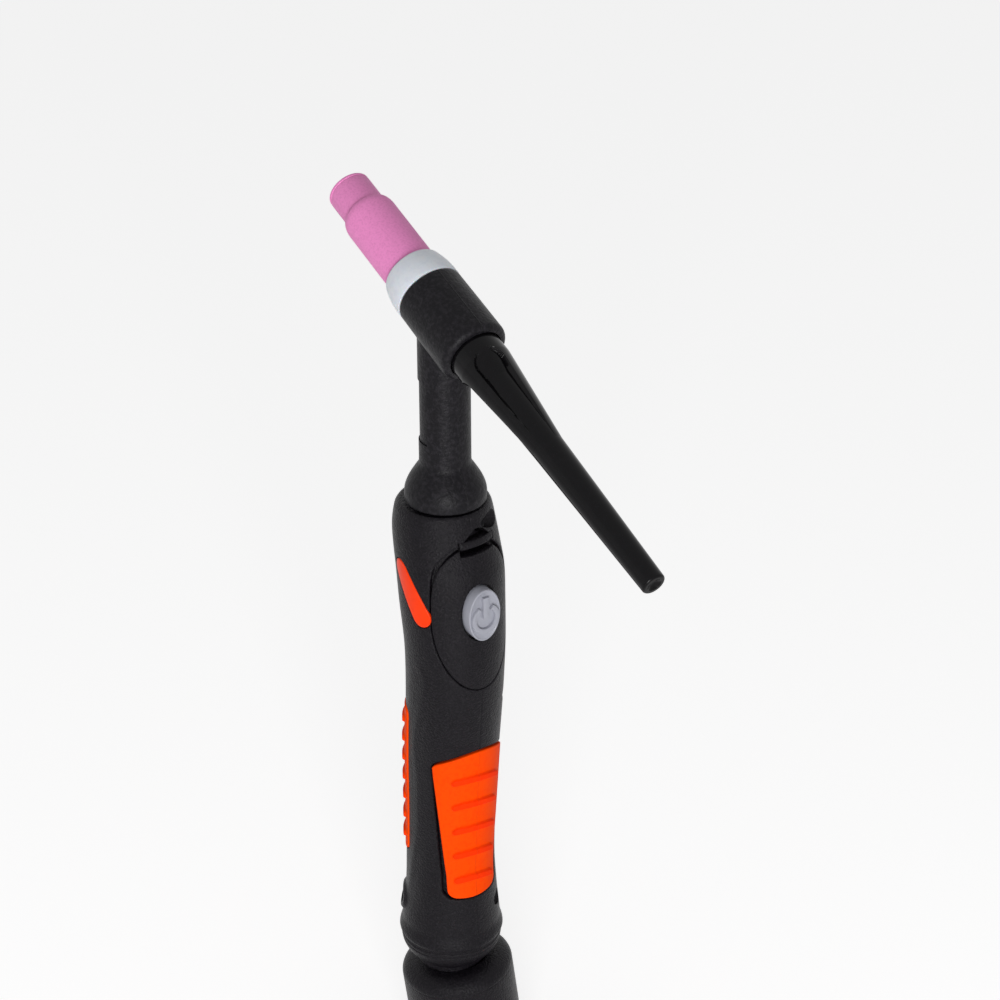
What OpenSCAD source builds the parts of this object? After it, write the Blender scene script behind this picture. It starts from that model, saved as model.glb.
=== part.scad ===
// Gas-cooled TIG torch: an upright handle, a raked head, a long back cap and a ball-joint cable cuff.
// +Z runs up the handle, +X is the switch side and the back-cap side.
// The origin is on the handle's axis, in the middle of the straight neck.

/* [Head] */
// Angle between the upright handle and the line that the nozzle points along
head_angle = 68; // [62:1:74]
// Height of the head's centre above the collar's rim
head_rise = 65.1; // [62:0.1:70]
// Diameter of the rubber head at its front
cover_d = 22.6; // [22:0.1:24]
// Diameter of the rubber head at its back
cover_back_d = 23; // [22.4:0.1:24.4]
// Front face of the head, ahead of its centre
head_front = 7.95; // [7.5:0.05:9]
// Back face of the head, behind its centre
head_back = 19.8; // [19:0.1:22]
// Rounding of the head's back edge
cover_round = 2.2; // [1:0.1:2.3]
// Diameter of the brass torch body inside the head
core_d = 15; // [14:0.1:16]
// Length of the torch body behind the head's centre
core_back = 18; // [17:0.1:18.8]
// Diameter of the brass boss that takes the neck tube
boss_d = 10.8; // [10:0.1:12]
// Reach of that boss below the head's centre
boss_reach = 17; // [15:0.5:20]

/* [Neck and collar] */
// Diameter of the straight neck
neck_d = 16.84; // [16:0.02:18]
// Height of the neck's clamping middle above the collar's rim
clamp_rise = 30; // [26:0.5:32]
// Outer diameter of the flared collar
collar_d = 26.8; // [25:0.1:28]
// Height of the flare
flare_h = 11.6; // [9:0.1:12]
// Height of the collar's upright rim
collar_rim_h = 3; // [2:0.1:4]
// Diameter of the plug that the collar pushes into the handle
plug_d = 20; // [18:0.1:20.4]
// Length of that plug
plug_len = 14; // [12:0.5:15]
// How far the plug's rib stands proud
plug_rib = 1; // [0.5:0.1:1.2]
// Bare recessed pad on the neck: height
pad_h = 21.5; // [16:0.5:24]
// Bare recessed pad on the neck: middle, above the collar's rim
pad_rise = 32; // [29:0.5:33]
// Depth of that pad
pad_depth = 0.4; // [0.2:0.05:0.8]
// Outer diameter of the copper neck tube
tube_d = 6.4; // [6:0.1:7]
// Bore of the copper neck tube
tube_bore = 4.4; // [3.5:0.1:4.8]

/* [Nozzle and collet] */
// Length of the gasket ring
gasket_len = 10.85; // [10:0.05:12]
// Diameter of the gasket where it meets the head
gasket_d = 22.7; // [22:0.1:24]
// Diameter of the gasket at its front edge
gasket_front_d = 19.8; // [19.2:0.1:20.6]
// How far the nozzle reaches into the gasket
cup_insert = 6; // [5:0.1:7]
// Length of the ceramic nozzle
nozzle_len = 47; // [44:0.5:52]
// Diameter of the nozzle's body
nozzle_d = 17.74; // [17.4:0.02:18.4]
// Diameter of the nozzle's tip
nozzle_tip_d = 14.6; // [13.6:0.1:15]
// Length of the nozzle's tip
nozzle_tip_len = 11.6; // [9:0.1:13]
// Bore of the nozzle's mouth
mouth_d = 11; // [9.6:0.1:11.4]
// Diameter of the thread that carries the nozzle
cup_thread_d = 12; // [11:0.1:12.4]
// Length of that thread
cup_thread_len = 14; // [12:0.5:16]
// Diameter of the diffuser ahead of the thread
diffuser_d = 10; // [9:0.1:10.6]
// Front end of the collet body, ahead of the head's centre
diffuser_end = 43.5; // [40:0.5:46]
// Diameter of the collet
collet_d = 4.3; // [4:0.1:4.6]
// Width of the collet's slits
slit_w = 0.5; // [0.3:0.1:0.8]
// Diameter of the tungsten electrode
electrode_d = 2.4; // [1.6:0.1:2.6]
// Length of the tungsten electrode
electrode_len = 150; // [140:1:152]
// How far the electrode stands out of the nozzle
stick_out = 2.5; // [0:0.5:6]
// Length of the electrode's ground point
point_len = 4.5; // [3:0.5:6]

/* [Back cap] */
// Diameter of the cap's collar
cap_d = 17.5; // [17:0.1:17.8]
// Diameter of the cap's threaded shank
shank_d = 9.8; // [9:0.1:10]
// Length of that shank
shank_len = 13.4; // [12:0.1:14]
// Diameter of the cap's stem under its fins
stem_d = 12.4; // [12:0.1:13]
// Diameter of the stem where the fins run out
stem_mid_d = 10.3; // [10:0.1:11]
// Diameter of the cap's end
cap_end_d = 7.8; // [7:0.1:8.6]
// End of the cap, behind the head's centre
cap_reach = 120; // [112:1:124]
// Where the fins run out, behind the head's centre
fin_end = 62; // [56:1:68]
// Bore for the electrode
cap_bore = 3.4; // [3:0.1:3.8]
// Number of fins
fins = 3; // [3:1:4]
// Turn of the first groove from the top of the head
groove_turn = -18.6; // [-40:0.2:40]
// Thickness of the sealing ring's rubber
o_ring_w = 1.2; // [1:0.1:1.4]

/* [Handle] */
// Wall of the handle's shells
wall = 3.2; // [2.8:0.1:3.6]
// Height of the handle
handle_len = 182.5; // [180:0.5:184]
// Gap between the collar and the handle
collar_gap = 0.6; // [0.4:0.1:1]
// Diameter of the handle's fixing screws
screw_d = 3; // [2.6:0.1:3.2]
// Diameter of their heads
screw_head_d = 5.8; // [5:0.1:6]
// Thickness of their heads
screw_head_h = 2; // [1.6:0.1:2.4]
// Diameter of the wells that the heads sit in
well_d = 7; // [6.6:0.1:7.4]

/* [Switch] */
// Middle of the button, below the collar's rim
button_drop = 32.5; // [31:0.5:34]
// Width of the button
button_w = 11.8; // [11:0.1:12.4]
// Height of the button
button_h = 18.8; // [17:0.1:20]
// Face of the button, ahead of the handle's axis
button_face = 23.5; // [22.8:0.1:24.5]
// Travel of the button
button_travel = 1.3; // [0.8:0.1:1.4]
// Half the width of the switch cover
cover_half = 14.5; // [13.5:0.1:15]
// Thickness of the switch cover
cover_t = 1.8; // [1.5:0.1:2]
// Thickness of the circuit board
board_t = 1.6; // [1.2:0.1:1.8]
// Height of the microswitch above its board
micro_h = 5.4; // [5:0.1:5.8]
// Length of the microswitch
micro_len = 12.8; // [11:0.1:13]
// Width of the microswitch
micro_w = 5.8; // [5:0.1:7]

/* [Grips] */
// Thickness of the soft grips under the handle's surface
grip_t = 1.5; // [1.2:0.1:1.8]
// How far the front grip stands proud
front_proud = 0.3; // [0:0.1:0.8]
// How far the rear grip stands proud between its ribs
rear_proud = 0.4; // [0:0.1:0.8]
// Height of the front grip's ribs
front_rib = 0.6; // [0.3:0.1:1]
// Height of the rear grip's ribs
rear_rib = 0.8; // [0.3:0.1:1.2]
// Number of ribs on the front grip
front_ribs = 5; // [4:1:5]
// Number of ribs on the rear grip
rear_ribs = 7; // [5:1:7]

/* [Cable cuff] */
// Distance from the swivel ball's middle down to the handle's bottom
mouth_below = 10.5; // [10:0.1:11]
// Diameter of the swivel ball
ball_d = 27.2; // [26.4:0.1:27.6]
// Diameter of the ball's spigot
spigot_d = 13.6; // [12.6:0.1:13.8]
// Bore for the cable's core
ball_bore = 9.6; // [8:0.1:10.4]
// Diameter of the cuff
cuff_d = 39.2; // [37:0.1:41]
// Bottom of the cuff, below the ball's middle
cuff_reach = 56; // [48:1:64]
// Bore that the cable's cover pushes into
inlet_d = 30; // [27:0.5:32]
// Depth of that bore
inlet_len = 24; // [18:1:28]
// Depth of the room for the ball's clip, above that bore
clip_room = 4.5; // [4:0.1:6]
// Lean of the cuff at rest
lean = 7; // [0:0.5:10]
// Side that the cuff leans to
lean_side = 56; // [0:1:90]

/* [Clearances] */
// Round or flat fit between parts that stay together
fit_gap = 0.05; // [0.03:0.01:0.06]
// Running clearance, on the radius
run_gap = 0.05; // [0.03:0.01:0.06]
// Clearance of a thread, on the radius
thread_gap = 0.1; // [0.06:0.01:0.14]
// Gap around soft parts in their pockets
soft_gap = 0.12; // [0.08:0.01:0.16]

/* [Hidden] */
$fn = 64;
ball_drop = handle_len - mouth_below;        // middle of the swivel ball, below the collar's rim

rubber = "#2a282b";
plastic = "#252327";
orange = "#ff4e00";
brass = "#b5924c";
copper = "#b5714c";
steel = "#9a9ca0";
past = 1;                                   // how far a cutter runs past the face it opens
rim_z = -clamp_rise;
head_z = rim_z + head_rise;
nozzle_back = head_front + gasket_len - cup_insert;
nozzle_front = nozzle_back + nozzle_len;

// ---------------------------------------------------------------- places
module at_rim() translate([0, 0, rim_z]) children();
module at_head() translate([0, 0, head_z]) rotate([0, -head_angle, 0]) children();
// The ball's own frame, with +Z up the cuff's axis
module at_ball()
    translate([0, 0, rim_z - ball_drop]) rotate([0, 0, lean_side]) rotate([0, -lean, 0]) children();
// A rod along +Z between two heights
module rod(r, from, to) translate([0, 0, from]) cylinder(r = r, h = to - from);
// A rod along +X between two distances, at a height
module x_rod(r, from, to, y, z) translate([from, y, z]) rotate([0, 90, 0]) cylinder(r = r, h = to - from);
// A rod along +Y between two distances
module y_rod(r, from, to, x, z) translate([x, from, z]) rotate([-90, 0, 0]) cylinder(r = r, h = to - from);
module block(low, high) translate(low) cube(high - low);
// An oval in the YZ plane, drawn out along +X
module oval(half_w, half_h, from, to, z)
    translate([from, 0, z]) rotate([90, 0, 90]) linear_extrude(height = to - from)
        polygon([for (i = [0:47]) [half_w * cos(i * 7.5), half_h * sin(i * 7.5)]]);
function smooth(t) = t <= 0 ? 0 : t >= 1 ? 1 : t * t * (3 - 2 * t);
function mix(a, b, t) = a + (b - a) * t;
// Points of a quarter round from one angle to another
function arc(x, y, r, a, b, n = 8) =
    [for (i = [0:n]) let(t = mix(a, b, i / n)) [x + r * cos(t), y + r * sin(t)]];

// ---------------------------------------------------------------- the handle's skin
// The handle's section is a round that swells, narrows and wanders forward on its way down.
// The hold is the long even part between the switch's swell and the swell over the ball
hold_top = 60;
hold_bottom = ball_drop - 34;
function hold(share) = mix(hold_top, hold_bottom, share);
// Stations down the handle: drop below the collar's rim, radius, forward offset of its middle
stations = [[0.6, 14.4, -1.0], [1.2, 15.1, -1.2], [3, 15.9, -1.5], [9, 16.9, -1.2], [15, 17.35, 0],
    [24, 17.7, 2.1], [36, 17.45, 3.2], [50, 16.8, 4.4], [hold_top, 16.5, 4.4], [hold(0.205), 16.2, 3.5],
    [hold(0.449), 15.8, 2], [hold(0.744), 15.3, 0.9], [hold_bottom, 15.2, 0.1], [ball_drop - 20, 15.8, 0.3],
    [ball_drop - 10, 16.85, 0], [ball_drop - 8, 17, 0]];
// Below them come a bead and a round taper down to the mouth
bead_drop = ball_drop - 3;
bead_r = 18.05;
taper_squash = 1.42;                        // how much shorter than round the taper is
mouth_outer = 12;
span_of = function(d, i = 0) i >= len(stations) - 2 || d <= stations[i + 1][0] ? i : span_of(d, i + 1);
function slope(i, k) = let(a = stations[max(i - 1, 0)], b = stations[min(i + 1, len(stations) - 1)])
    (b[k] - a[k]) / (b[0] - a[0]);
function hermite(p, q, m, n, h, t) = let(u = 1 - t)
    u * u * (1 + 2 * t) * p + t * t * (3 - 2 * t) * q + h * t * u * (u * m - t * n);
function station(d, k) = let(i = span_of(d), p = stations[i], q = stations[i + 1], h = q[0] - p[0])
    hermite(p[k], q[k], slope(i, k), slope(i + 1, k), h, (d - p[0]) / h);
last_station = stations[len(stations) - 1];
// Bead: rounds out of the last station and back in below its crest
bead_step = 0.5;
bead_end = bead_drop + 1.2;
function bead(d) = let(rise = smooth((d - last_station[0]) / (bead_drop - last_station[0])))
    d < bead_drop ? mix(last_station[1], bead_r, rise)
    : bead_r - bead_step * smooth((d - bead_drop) / (bead_end - bead_drop));
function taper(d) = let(e = taper_squash * (d - ball_drop + 0.4), r = bead_r - 0.6)
    sqrt(max(r * r - e * e, mouth_outer * mouth_outer));
function skin_r(d) = d <= last_station[0] ? station(d, 1) : d <= bead_end ? bead(d) : min(bead(d), taper(d));
function skin_c(d) = d <= last_station[0] ? station(d, 2) : 0;
function even(n) = [for (i = [0:n]) i / n];
// A point on the skin: drop below the rim, angle from +X towards -Y, height above the skin
function skin(d, a, up = 0) = [skin_c(d) + (skin_r(d) + up) * cos(a), -(skin_r(d) + up) * sin(a), -d];

// A curved slab on the skin, with a row of points at each v from 0 to 1.
// place(u, v) gives [drop, angle], top(u, v) the height of its outer face.
module slab(levels, columns, place, top, bottom) {
    n = columns + 1;
    rows = len(levels) - 1;
    under = (rows + 1) * n;
    outer = [for (v = levels) for (j = [0:columns])
        let(p = place(j / columns, v)) skin(p[0], p[1], top(j / columns, v))];
    inner = [for (v = levels) for (j = [0:columns])
        let(p = place(j / columns, v)) skin(p[0], p[1], bottom)];
    faces = [
        for (i = [0:rows - 1]) for (j = [0:columns - 1]) let(p = i * n + j)
            each [[p, p + 1, p + n], [p + 1, p + n + 1, p + n],
                [under + p, under + p + n, under + p + 1], [under + p + 1, under + p + n, under + p + n + 1]],
        for (j = [0:columns - 1]) let(q = rows * n + j)
            each [[j, under + j, j + 1], [j + 1, under + j, under + j + 1],
                [q, q + 1, under + q], [q + 1, under + q + 1, under + q]],
        for (i = [0:rows - 1]) let(p = i * n, q = i * n + columns)
            each [[p, p + n, under + p], [p + n, under + p + n, under + p],
                [q, under + q, q + n], [q + n, under + q, under + q + n]]];
    polyhedron(points = concat(outer, inner), faces = [for (f = faces) [f[2], f[1], f[0]]]);
}

// ---------------------------------------------------------------- head
core_r = core_d / 2;
core_front = head_front - fit_gap;
neck_r = neck_d / 2;
collar_r = collar_d / 2;
plug_r = plug_d / 2;
rib_top = 8;                                // the plug's rib, below the collar's rim
rib_bottom = 11;
cap_recess_r = cap_d / 2 + 0.2;

function cover_outline() = let(front = cover_d / 2, back = cover_back_d / 2, edge = 0.7, r = cover_round)
    concat([[0, -head_back]], arc(back - r, r - head_back, r, -90, 0),
        arc(front - edge, head_front - edge, edge, 0, 90, 4), [[0, head_front]]);
function flare_outline() = concat([[0, 0], [collar_r - 0.4, 0], [collar_r, 0.4], [collar_r, collar_rim_h]],
    [for (i = [1:12]) [mix(collar_r, neck_r, smooth(i / 12)), collar_rim_h + flare_h * i / 12]],
    [[0, collar_rim_h + flare_h]]);

module head_cover() {
    pad_side = 108;                         // the pad's angle from +X towards -Y
    pad_half = 4.6;
    color(rubber) difference() {
        union() {
            at_head() rotate_extrude() polygon(cover_outline());
            rod(neck_r, rim_z + collar_rim_h, head_z);
            at_rim() rotate_extrude() polygon(flare_outline());
            at_rim() rod(plug_r, -plug_len, past);
            at_rim() rod(plug_r + plug_rib, -rib_bottom, -rib_top);
        }
        at_head() {
            rod(core_r + fit_gap, -core_back - fit_gap, head_front + past);
            rod(cap_recess_r, -head_back - past, -core_back);
        }
        rod(boss_d / 2 + fit_gap, head_z - boss_reach - fit_gap, head_z);
        rod(tube_d / 2 + fit_gap, rim_z - plug_len - past, head_z);
        at_rim() intersection() {
            difference() {
                rod(neck_r + past, pad_rise - pad_h / 2, pad_rise + pad_h / 2);
                rod(neck_r - pad_depth, pad_rise - pad_h, pad_rise + pad_h);
            }
            rotate([0, 0, -pad_side]) block([0, -pad_half, 0], [neck_r + 2 * past, pad_half, head_rise]);
        }
    }
}

shank_r = shank_d / 2;
body_bore = 3.4;                            // gas space between the two threads
front_thread_r = 4.6;
socket_depth = 9;                           // neck tube's socket in the boss
module head_core() {
    front_thread_len = 7;
    color(brass) difference() {
        union() {
            at_head() rod(core_r, -core_back, core_front);
            rod(boss_d / 2, head_z - boss_reach, head_z);
        }
        at_head() {
            rod(shank_r + thread_gap, -core_back - past, past - 5);
            rod(body_bore, -core_back, core_front);
            rod(front_thread_r + fit_gap, core_front - front_thread_len, core_front + past);
        }
        rod(tube_d / 2 + fit_gap, head_z - boss_reach - past, head_z - boss_reach + socket_depth);
        rod(tube_bore / 2, head_z - boss_reach, head_z);
    }
}

union_top = 17;                             // the union, below the collar's rim
union_socket = 7;
module neck_tube() color(copper) difference() {
    rod(tube_d / 2, rim_z - union_top - union_socket + fit_gap, head_z - boss_reach + socket_depth - fit_gap);
    rod(tube_bore / 2, rim_z - union_top - union_socket - past, head_z);
}

union_hex_r = 5.2;
union_r = 4.6;
union_hex_len = 10;
barb_top = 40;
barb_pitch = 5.5;
barbs = 4;
module power_union() color(brass) at_rim() difference() {
    union() {
        translate([0, 0, -union_top - union_hex_len]) cylinder(r = union_hex_r, h = union_hex_len, $fn = 6);
        rod(union_r, -barb_top, -union_top - union_hex_len);
        for (i = [0:barbs - 1])
            translate([0, 0, -barb_top - (i + 1) * barb_pitch]) cylinder(r1 = 3.4, r2 = 4.2, h = barb_pitch);
    }
    rod(tube_d / 2 + fit_gap, -union_top - union_socket, past - union_top);
    rod(tube_bore / 2, -barb_top - barbs * barb_pitch - past, -union_top);
}

// ---------------------------------------------------------------- nozzle end
cup_thread_r = cup_thread_d / 2;
collet_r = collet_d / 2;
electrode_r = electrode_d / 2;
thread_end = head_front + fit_gap + cup_thread_len;
collet_bore_end = diffuser_end - 3.5;
collet_back = 4.5;                          // the collet's tail, behind the head's centre

module cup_gasket() {
    bulge = 0.5;
    color("#e9edf2") at_head() difference() {
        rotate_extrude() polygon(concat([[0, head_front + fit_gap]],
            [for (i = [0:8]) [mix(gasket_d, gasket_front_d, i / 8) / 2 + bulge * sin(i * 22.5),
                mix(head_front + fit_gap, head_front + gasket_len, i / 8)]],
            [[0, head_front + gasket_len]]));
        rod(cup_thread_r + 0.3, head_front - past, head_front + gasket_len + past);
        rod(nozzle_d / 2 + fit_gap, nozzle_back - fit_gap, head_front + gasket_len + past);
    }
}

module nozzle() {
    r = nozzle_d / 2;
    tip_r = nozzle_tip_d / 2;
    edge = 0.4;
    shoulder = nozzle_front - nozzle_tip_len;
    shoulder_round = 3.4;                   // length of the round behind the step
    bore_end = nozzle_front - 15;
    color("#dd7db8") at_head() difference() {
        rotate_extrude() polygon(concat([[0, nozzle_back], [r - edge, nozzle_back], [r, nozzle_back + edge]],
            [for (a = [0:11.25:90]) [mix(tip_r + 0.1, r, cos(a)), shoulder - shoulder_round * (1 - sin(a))]],
            [[tip_r, shoulder + 0.3]],
            arc(tip_r - edge, nozzle_front - edge, edge, 0, 90, 4),
            [[0, nozzle_front]]));
        rod(cup_thread_r + thread_gap, nozzle_back - past, thread_end + 2);
        rod(cup_thread_r + 0.6, thread_end + 1, bore_end);
        translate([0, 0, bore_end]) cylinder(r1 = cup_thread_r + 0.6, r2 = mouth_d / 2, h = 5);
        rod(mouth_d / 2, bore_end + 4, nozzle_front + past);
    }
}

module collet_body() {
    port_r = 0.8;
    color(copper) at_head() difference() {
        union() {
            rod(front_thread_r, core_front - 6.5, head_front);
            rod(cup_thread_r, head_front, thread_end);
            rod(diffuser_d / 2, thread_end, diffuser_end - 2);
            translate([0, 0, diffuser_end - 2]) cylinder(r1 = diffuser_d / 2, r2 = 3, h = 2);
        }
        rod(collet_r + fit_gap, 0, collet_bore_end);
        rod(electrode_r + thread_gap, 0, diffuser_end + past);
        for (i = [0:3])
            rotate([0, 0, 45 + i * 90]) x_rod(port_r, 0, diffuser_d, 0, collet_bore_end - 4);
    }
}

module collet() {
    slit_len = 16;
    color(copper) at_head() difference() {
        rod(collet_r, -collet_back, collet_bore_end - fit_gap);
        rod(electrode_r + 0.03, -collet_back - past, diffuser_end);
        block([-collet_d, -slit_w / 2, collet_bore_end - slit_len], [collet_d, slit_w / 2, diffuser_end]);
    }
}

electrode_tip = nozzle_front + stick_out;
module electrode() color(steel) at_head() {
    rod(electrode_r, electrode_tip - electrode_len, electrode_tip - point_len);
    translate([0, 0, electrode_tip - point_len]) cylinder(r1 = electrode_r, r2 = 0.1, h = point_len);
}

// ---------------------------------------------------------------- back cap
cap_r = cap_d / 2;
stem_r = stem_d / 2;
cap_face = core_back + 0.1;                 // the cap's front face, behind the head's centre
ring_seat = cap_face - 2.4;                 // front wall of the sealing ring's groove
ring_gap = 0.1;
ring_floor = shank_r - o_ring_w - fit_gap;
fin_start = 26;                             // the fins, behind the head's centre
groove_top = 24.5;
groove_r = 5.8;
groove_out = 9.5;
stem_top = 34;                              // where the grooves' floors reach the stem
end_round = 0.8;

module cap_fins() difference() {
    union() {
        rod(cap_r, -fin_start, -cap_face);
        translate([0, 0, -fin_end]) cylinder(r1 = stem_mid_d / 2, r2 = cap_r, h = fin_end - fin_start);
    }
    for (i = [0:fins - 1]) rotate([0, 0, groove_turn + i * 360 / fins]) translate([groove_out, 0, 0]) {
        rod(groove_r, -fin_end - past, -groove_top - groove_r);
        translate([0, 0, -groove_top - groove_r]) sphere(r = groove_r);
    }
}

module back_cap() {
    end_r = cap_end_d / 2;
    dimple_r = 2.2;
    color("#141316") at_head() difference() {
        union() {
            cap_fins();
            rod(shank_r, -cap_face - past, shank_len - core_back);
            rotate_extrude() polygon(concat([[0, -cap_reach]],
                arc(end_r - end_round, end_round - cap_reach, end_round, -90, 0, 4),
                [[stem_mid_d / 2, -fin_end], [stem_r, -stem_top]],
                [[cap_r - 0.2, -groove_top - 0.7], [0, -groove_top - 0.7]]));
        }
        rod(cap_bore / 2, -cap_reach + 8, shank_len);
        difference() {
            rod(shank_r + past, -ring_seat - o_ring_w - 2 * ring_gap, -ring_seat);
            rod(ring_floor, -cap_face, shank_len);
        }
        translate([0, 0, -cap_reach - 1.6]) sphere(r = sqrt(dimple_r * dimple_r + 1.6 * 1.6));
    }
}

module cap_o_ring() color("#1c1c1e") at_head()
    translate([0, 0, -ring_seat - ring_gap - o_ring_w / 2])
        rotate_extrude() translate([shank_r - o_ring_w / 2, 0]) circle(r = o_ring_w / 2, $fn = 24);

// ---------------------------------------------------------------- handle
ball_r = ball_d / 2;
ball_z = -ball_drop;                        // from the collar's rim
seat_h = 8;
seat_r = ball_r + 1.4;
passage_r = 6.8;                            // way for the cable's core above the ball
socket_mouth_r = 10.6;
cavity_bottom = ball_drop - 24;
low_screws = ball_drop - 15.5;
// Handle screws: forward place, drop, side of the head (1 is +Y), floor of the well, length past the split
screws = [[plug_r + 2.4, 5.1, 1, 3.4, 4.5], [12.5, 72.3, 1, 7, 8],
    [11, low_screws, 1, 7.5, 8], [-9.1, low_screws + 0.4, -1, 9, 8]];

// Drops of the shell's rings: close together at its two ends, even between
last_drop = last_station[0];
ring_drops = concat([collar_gap, 1.2, 3, 6, 9.5, 14.9, 15], [for (d = [21:7:cavity_bottom - 1]) d],
    [cavity_bottom, cavity_bottom + 1, cavity_bottom + 7, last_drop - 4, last_drop - 2, last_drop],
    [for (t = [0.3, 0.64, 1]) mix(last_drop, bead_drop, t)], [bead_end, mix(bead_end, handle_len, 0.11)],
    [for (t = [0.28, 0.44, 0.59, 0.72, 0.83, 0.91, 1]) mix(bead_end, handle_len, t)]);
function inner_r(d) = d < plug_len + past || d > cavity_bottom ? 5 : skin_r(d) - wall;

function shell_point(d, r, a, side) = [skin_c(d) + r * cos(a), side * r * sin(a), -d];

// One half of the shell: side is 1 for +Y and -1 for -Y
module half_skin(side) {
    steps = 22;
    turn = 180 / steps;
    n = 2 * (steps + 1);
    m = len(ring_drops);
    points = [for (d = ring_drops) each concat(
        [for (j = [0:steps]) shell_point(d, skin_r(d), j * turn, side)],
        [for (j = [steps:-1:0]) shell_point(d, inner_r(d), j * turn, side)])];
    wound = side > 0 ? [0, 1, 2] : [2, 1, 0];
    faces = [
        for (i = [0:m - 2]) for (j = [0:n - 1]) let(a = i * n + j, b = i * n + (j + 1) % n)
            each [[a, b, a + n], [b, b + n, a + n]],
        for (j = [0:steps - 1]) let(k = n - 1 - j)
            each [[j, k, j + 1], [j + 1, k, k - 1]],
        for (j = [0:steps - 1]) let(k = n - 1 - j, e = (m - 1) * n)
            each [[e + j, e + j + 1, e + k], [e + j + 1, e + k - 1, e + k]]];
    polyhedron(points = points, faces = [for (f = faces) [f[wound[0]], f[wound[1]], f[wound[2]]]]);
}

module on_side(side) {
    reach = 30;
    intersection() {
        children();
        translate([-reach, side > 0 ? 0 : -reach, -handle_len]) cube([2 * reach, reach, handle_len]);
    }
}

web_drop = 33;                              // cradle that holds the brass union
web_t = 2;
web_front = 5.6;
screw_boss_r = 4.4;
module shell_insides() {
    boss = screws[1];
    difference() {
        translate([skin_c(web_drop), 0, 0]) rod(skin_r(web_drop) - wall / 2, -web_drop - web_t, -web_drop);
        rod(union_r + fit_gap, -web_drop - 2 * web_t, past);
        block([web_front, -20, -web_drop - 2 * web_t], [30, 20, 0]);
    }
    y_rod(screw_boss_r, -boss[3] - 1.8, boss[3] + 1.8, boss[0], -boss[1]);
}

// Well, clearance hole and pilot hole of each screw
module screw_holes() for (s = screws) let(out = s[2] * 30, floor = s[2] * s[3], tip = -s[2] * s[4]) {
    y_rod(well_d / 2, min(floor, out), max(floor, out), s[0], -s[1]);
    y_rod(screw_d / 2 + 0.2, min(0, floor), max(0, floor), s[0], -s[1]);
    y_rod(screw_d / 2 + fit_gap, min(0, tip), max(0, tip), s[0], -s[1]);
}

module shell_sockets() {
    rod(plug_r + fit_gap, -plug_len - past, past);
    rod(plug_r + plug_rib + fit_gap, -rib_bottom - fit_gap, fit_gap - rib_top);
    rod(passage_r, ball_z, -cavity_bottom + past);
    rod(seat_r + run_gap, ball_z, ball_z + seat_h + fit_gap);
    translate([0, 0, ball_z]) {
        sphere(r = ball_r + run_gap);
        intersection() {
            sphere(r = ball_r + 0.3);
            rod(ball_r, 0, ball_r + past);
        }
    }
    mouth_top = ball_z - sqrt(ball_r * ball_r - socket_mouth_r * socket_mouth_r);
    mouth_bottom = -handle_len - past;
    translate([0, 0, mouth_bottom])
        cylinder(r1 = socket_mouth_r + 0.8, r2 = socket_mouth_r, h = mouth_top - mouth_bottom);
}

window_half = 8;
window_top = plug_len + 1.6;
window_bottom = 50.8;
module handle_shell(side) at_rim() difference() {
    union() {
        half_skin(side);
        on_side(side) shell_insides();
    }
    shell_sockets();
    screw_holes();
    block([web_front + 1, -window_half, -window_bottom], [30, window_half, -window_top]);
    switch_pocket();
    front_pocket();
    rear_pocket();
}
module handle_shell_left() color(plastic) difference() {
    handle_shell(-1);
    at_rim() label_pocket();
}
module handle_shell_right() color(plastic) handle_shell(1);

screw_reach = 0.5;                          // pilot hole left past a screw's tip
hex_r = 1.45;
hex_depth = 1.2;
// One screw, for a row of screws
module handle_screw(s) {
    face = s[2] * (s[3] + fit_gap);
    top = s[2] * (s[3] + screw_head_h);
    tip = s[2] * (screw_reach - s[4]);
    difference() {
        union() {
            y_rod(screw_d / 2, min(face, tip), max(face, tip), s[0], -s[1]);
            y_rod(screw_head_d / 2, min(face, top), max(face, top), s[0], -s[1]);
        }
        translate([s[0], top - s[2] * hex_depth, -s[1]]) rotate([-90 * s[2], 0, 0])
            cylinder(r = hex_r, h = hex_depth + past, $fn = 6);
    }
}
module handle_screws() color(steel) at_rim() for (s = screws) handle_screw(s);

// ---------------------------------------------------------------- switch
cover_top = 11.4;                           // the cover's flat top edge, below the collar's rim
cover_middle = 33;
cover_bottom = 61.8;
// Half width of the cover's egg shape: a fuller round above its middle than below
function egg(d) = d < cover_middle ? cover_half * sqrt(1 - pow((cover_middle - d) / 22.3, 3))
    : cover_half * sqrt(max(1 - pow((d - cover_middle) / (cover_bottom + 0.4 - cover_middle), 2.5), 0));
// Place on the cover, grown by a margin. u runs across it and v down it, bunched at the ends.
function cover_place(u, v, grow) = let(
        d = mix(cover_top, cover_bottom, (1 - cos(180 * v)) / 2),
        w = egg(d) + grow,
        e = mix(cover_top - grow, cover_bottom + grow, (1 - cos(180 * v)) / 2))
    [e, asin((2 * u - 1) * w / skin_r(d))];
module cover_slab(grow, up, down)
    slab(even(22), 14, function(u, v) cover_place(u, v, grow), function(u, v) up, -down);
module switch_pocket() cover_slab(soft_gap, 3, cover_t + fit_gap);

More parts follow.
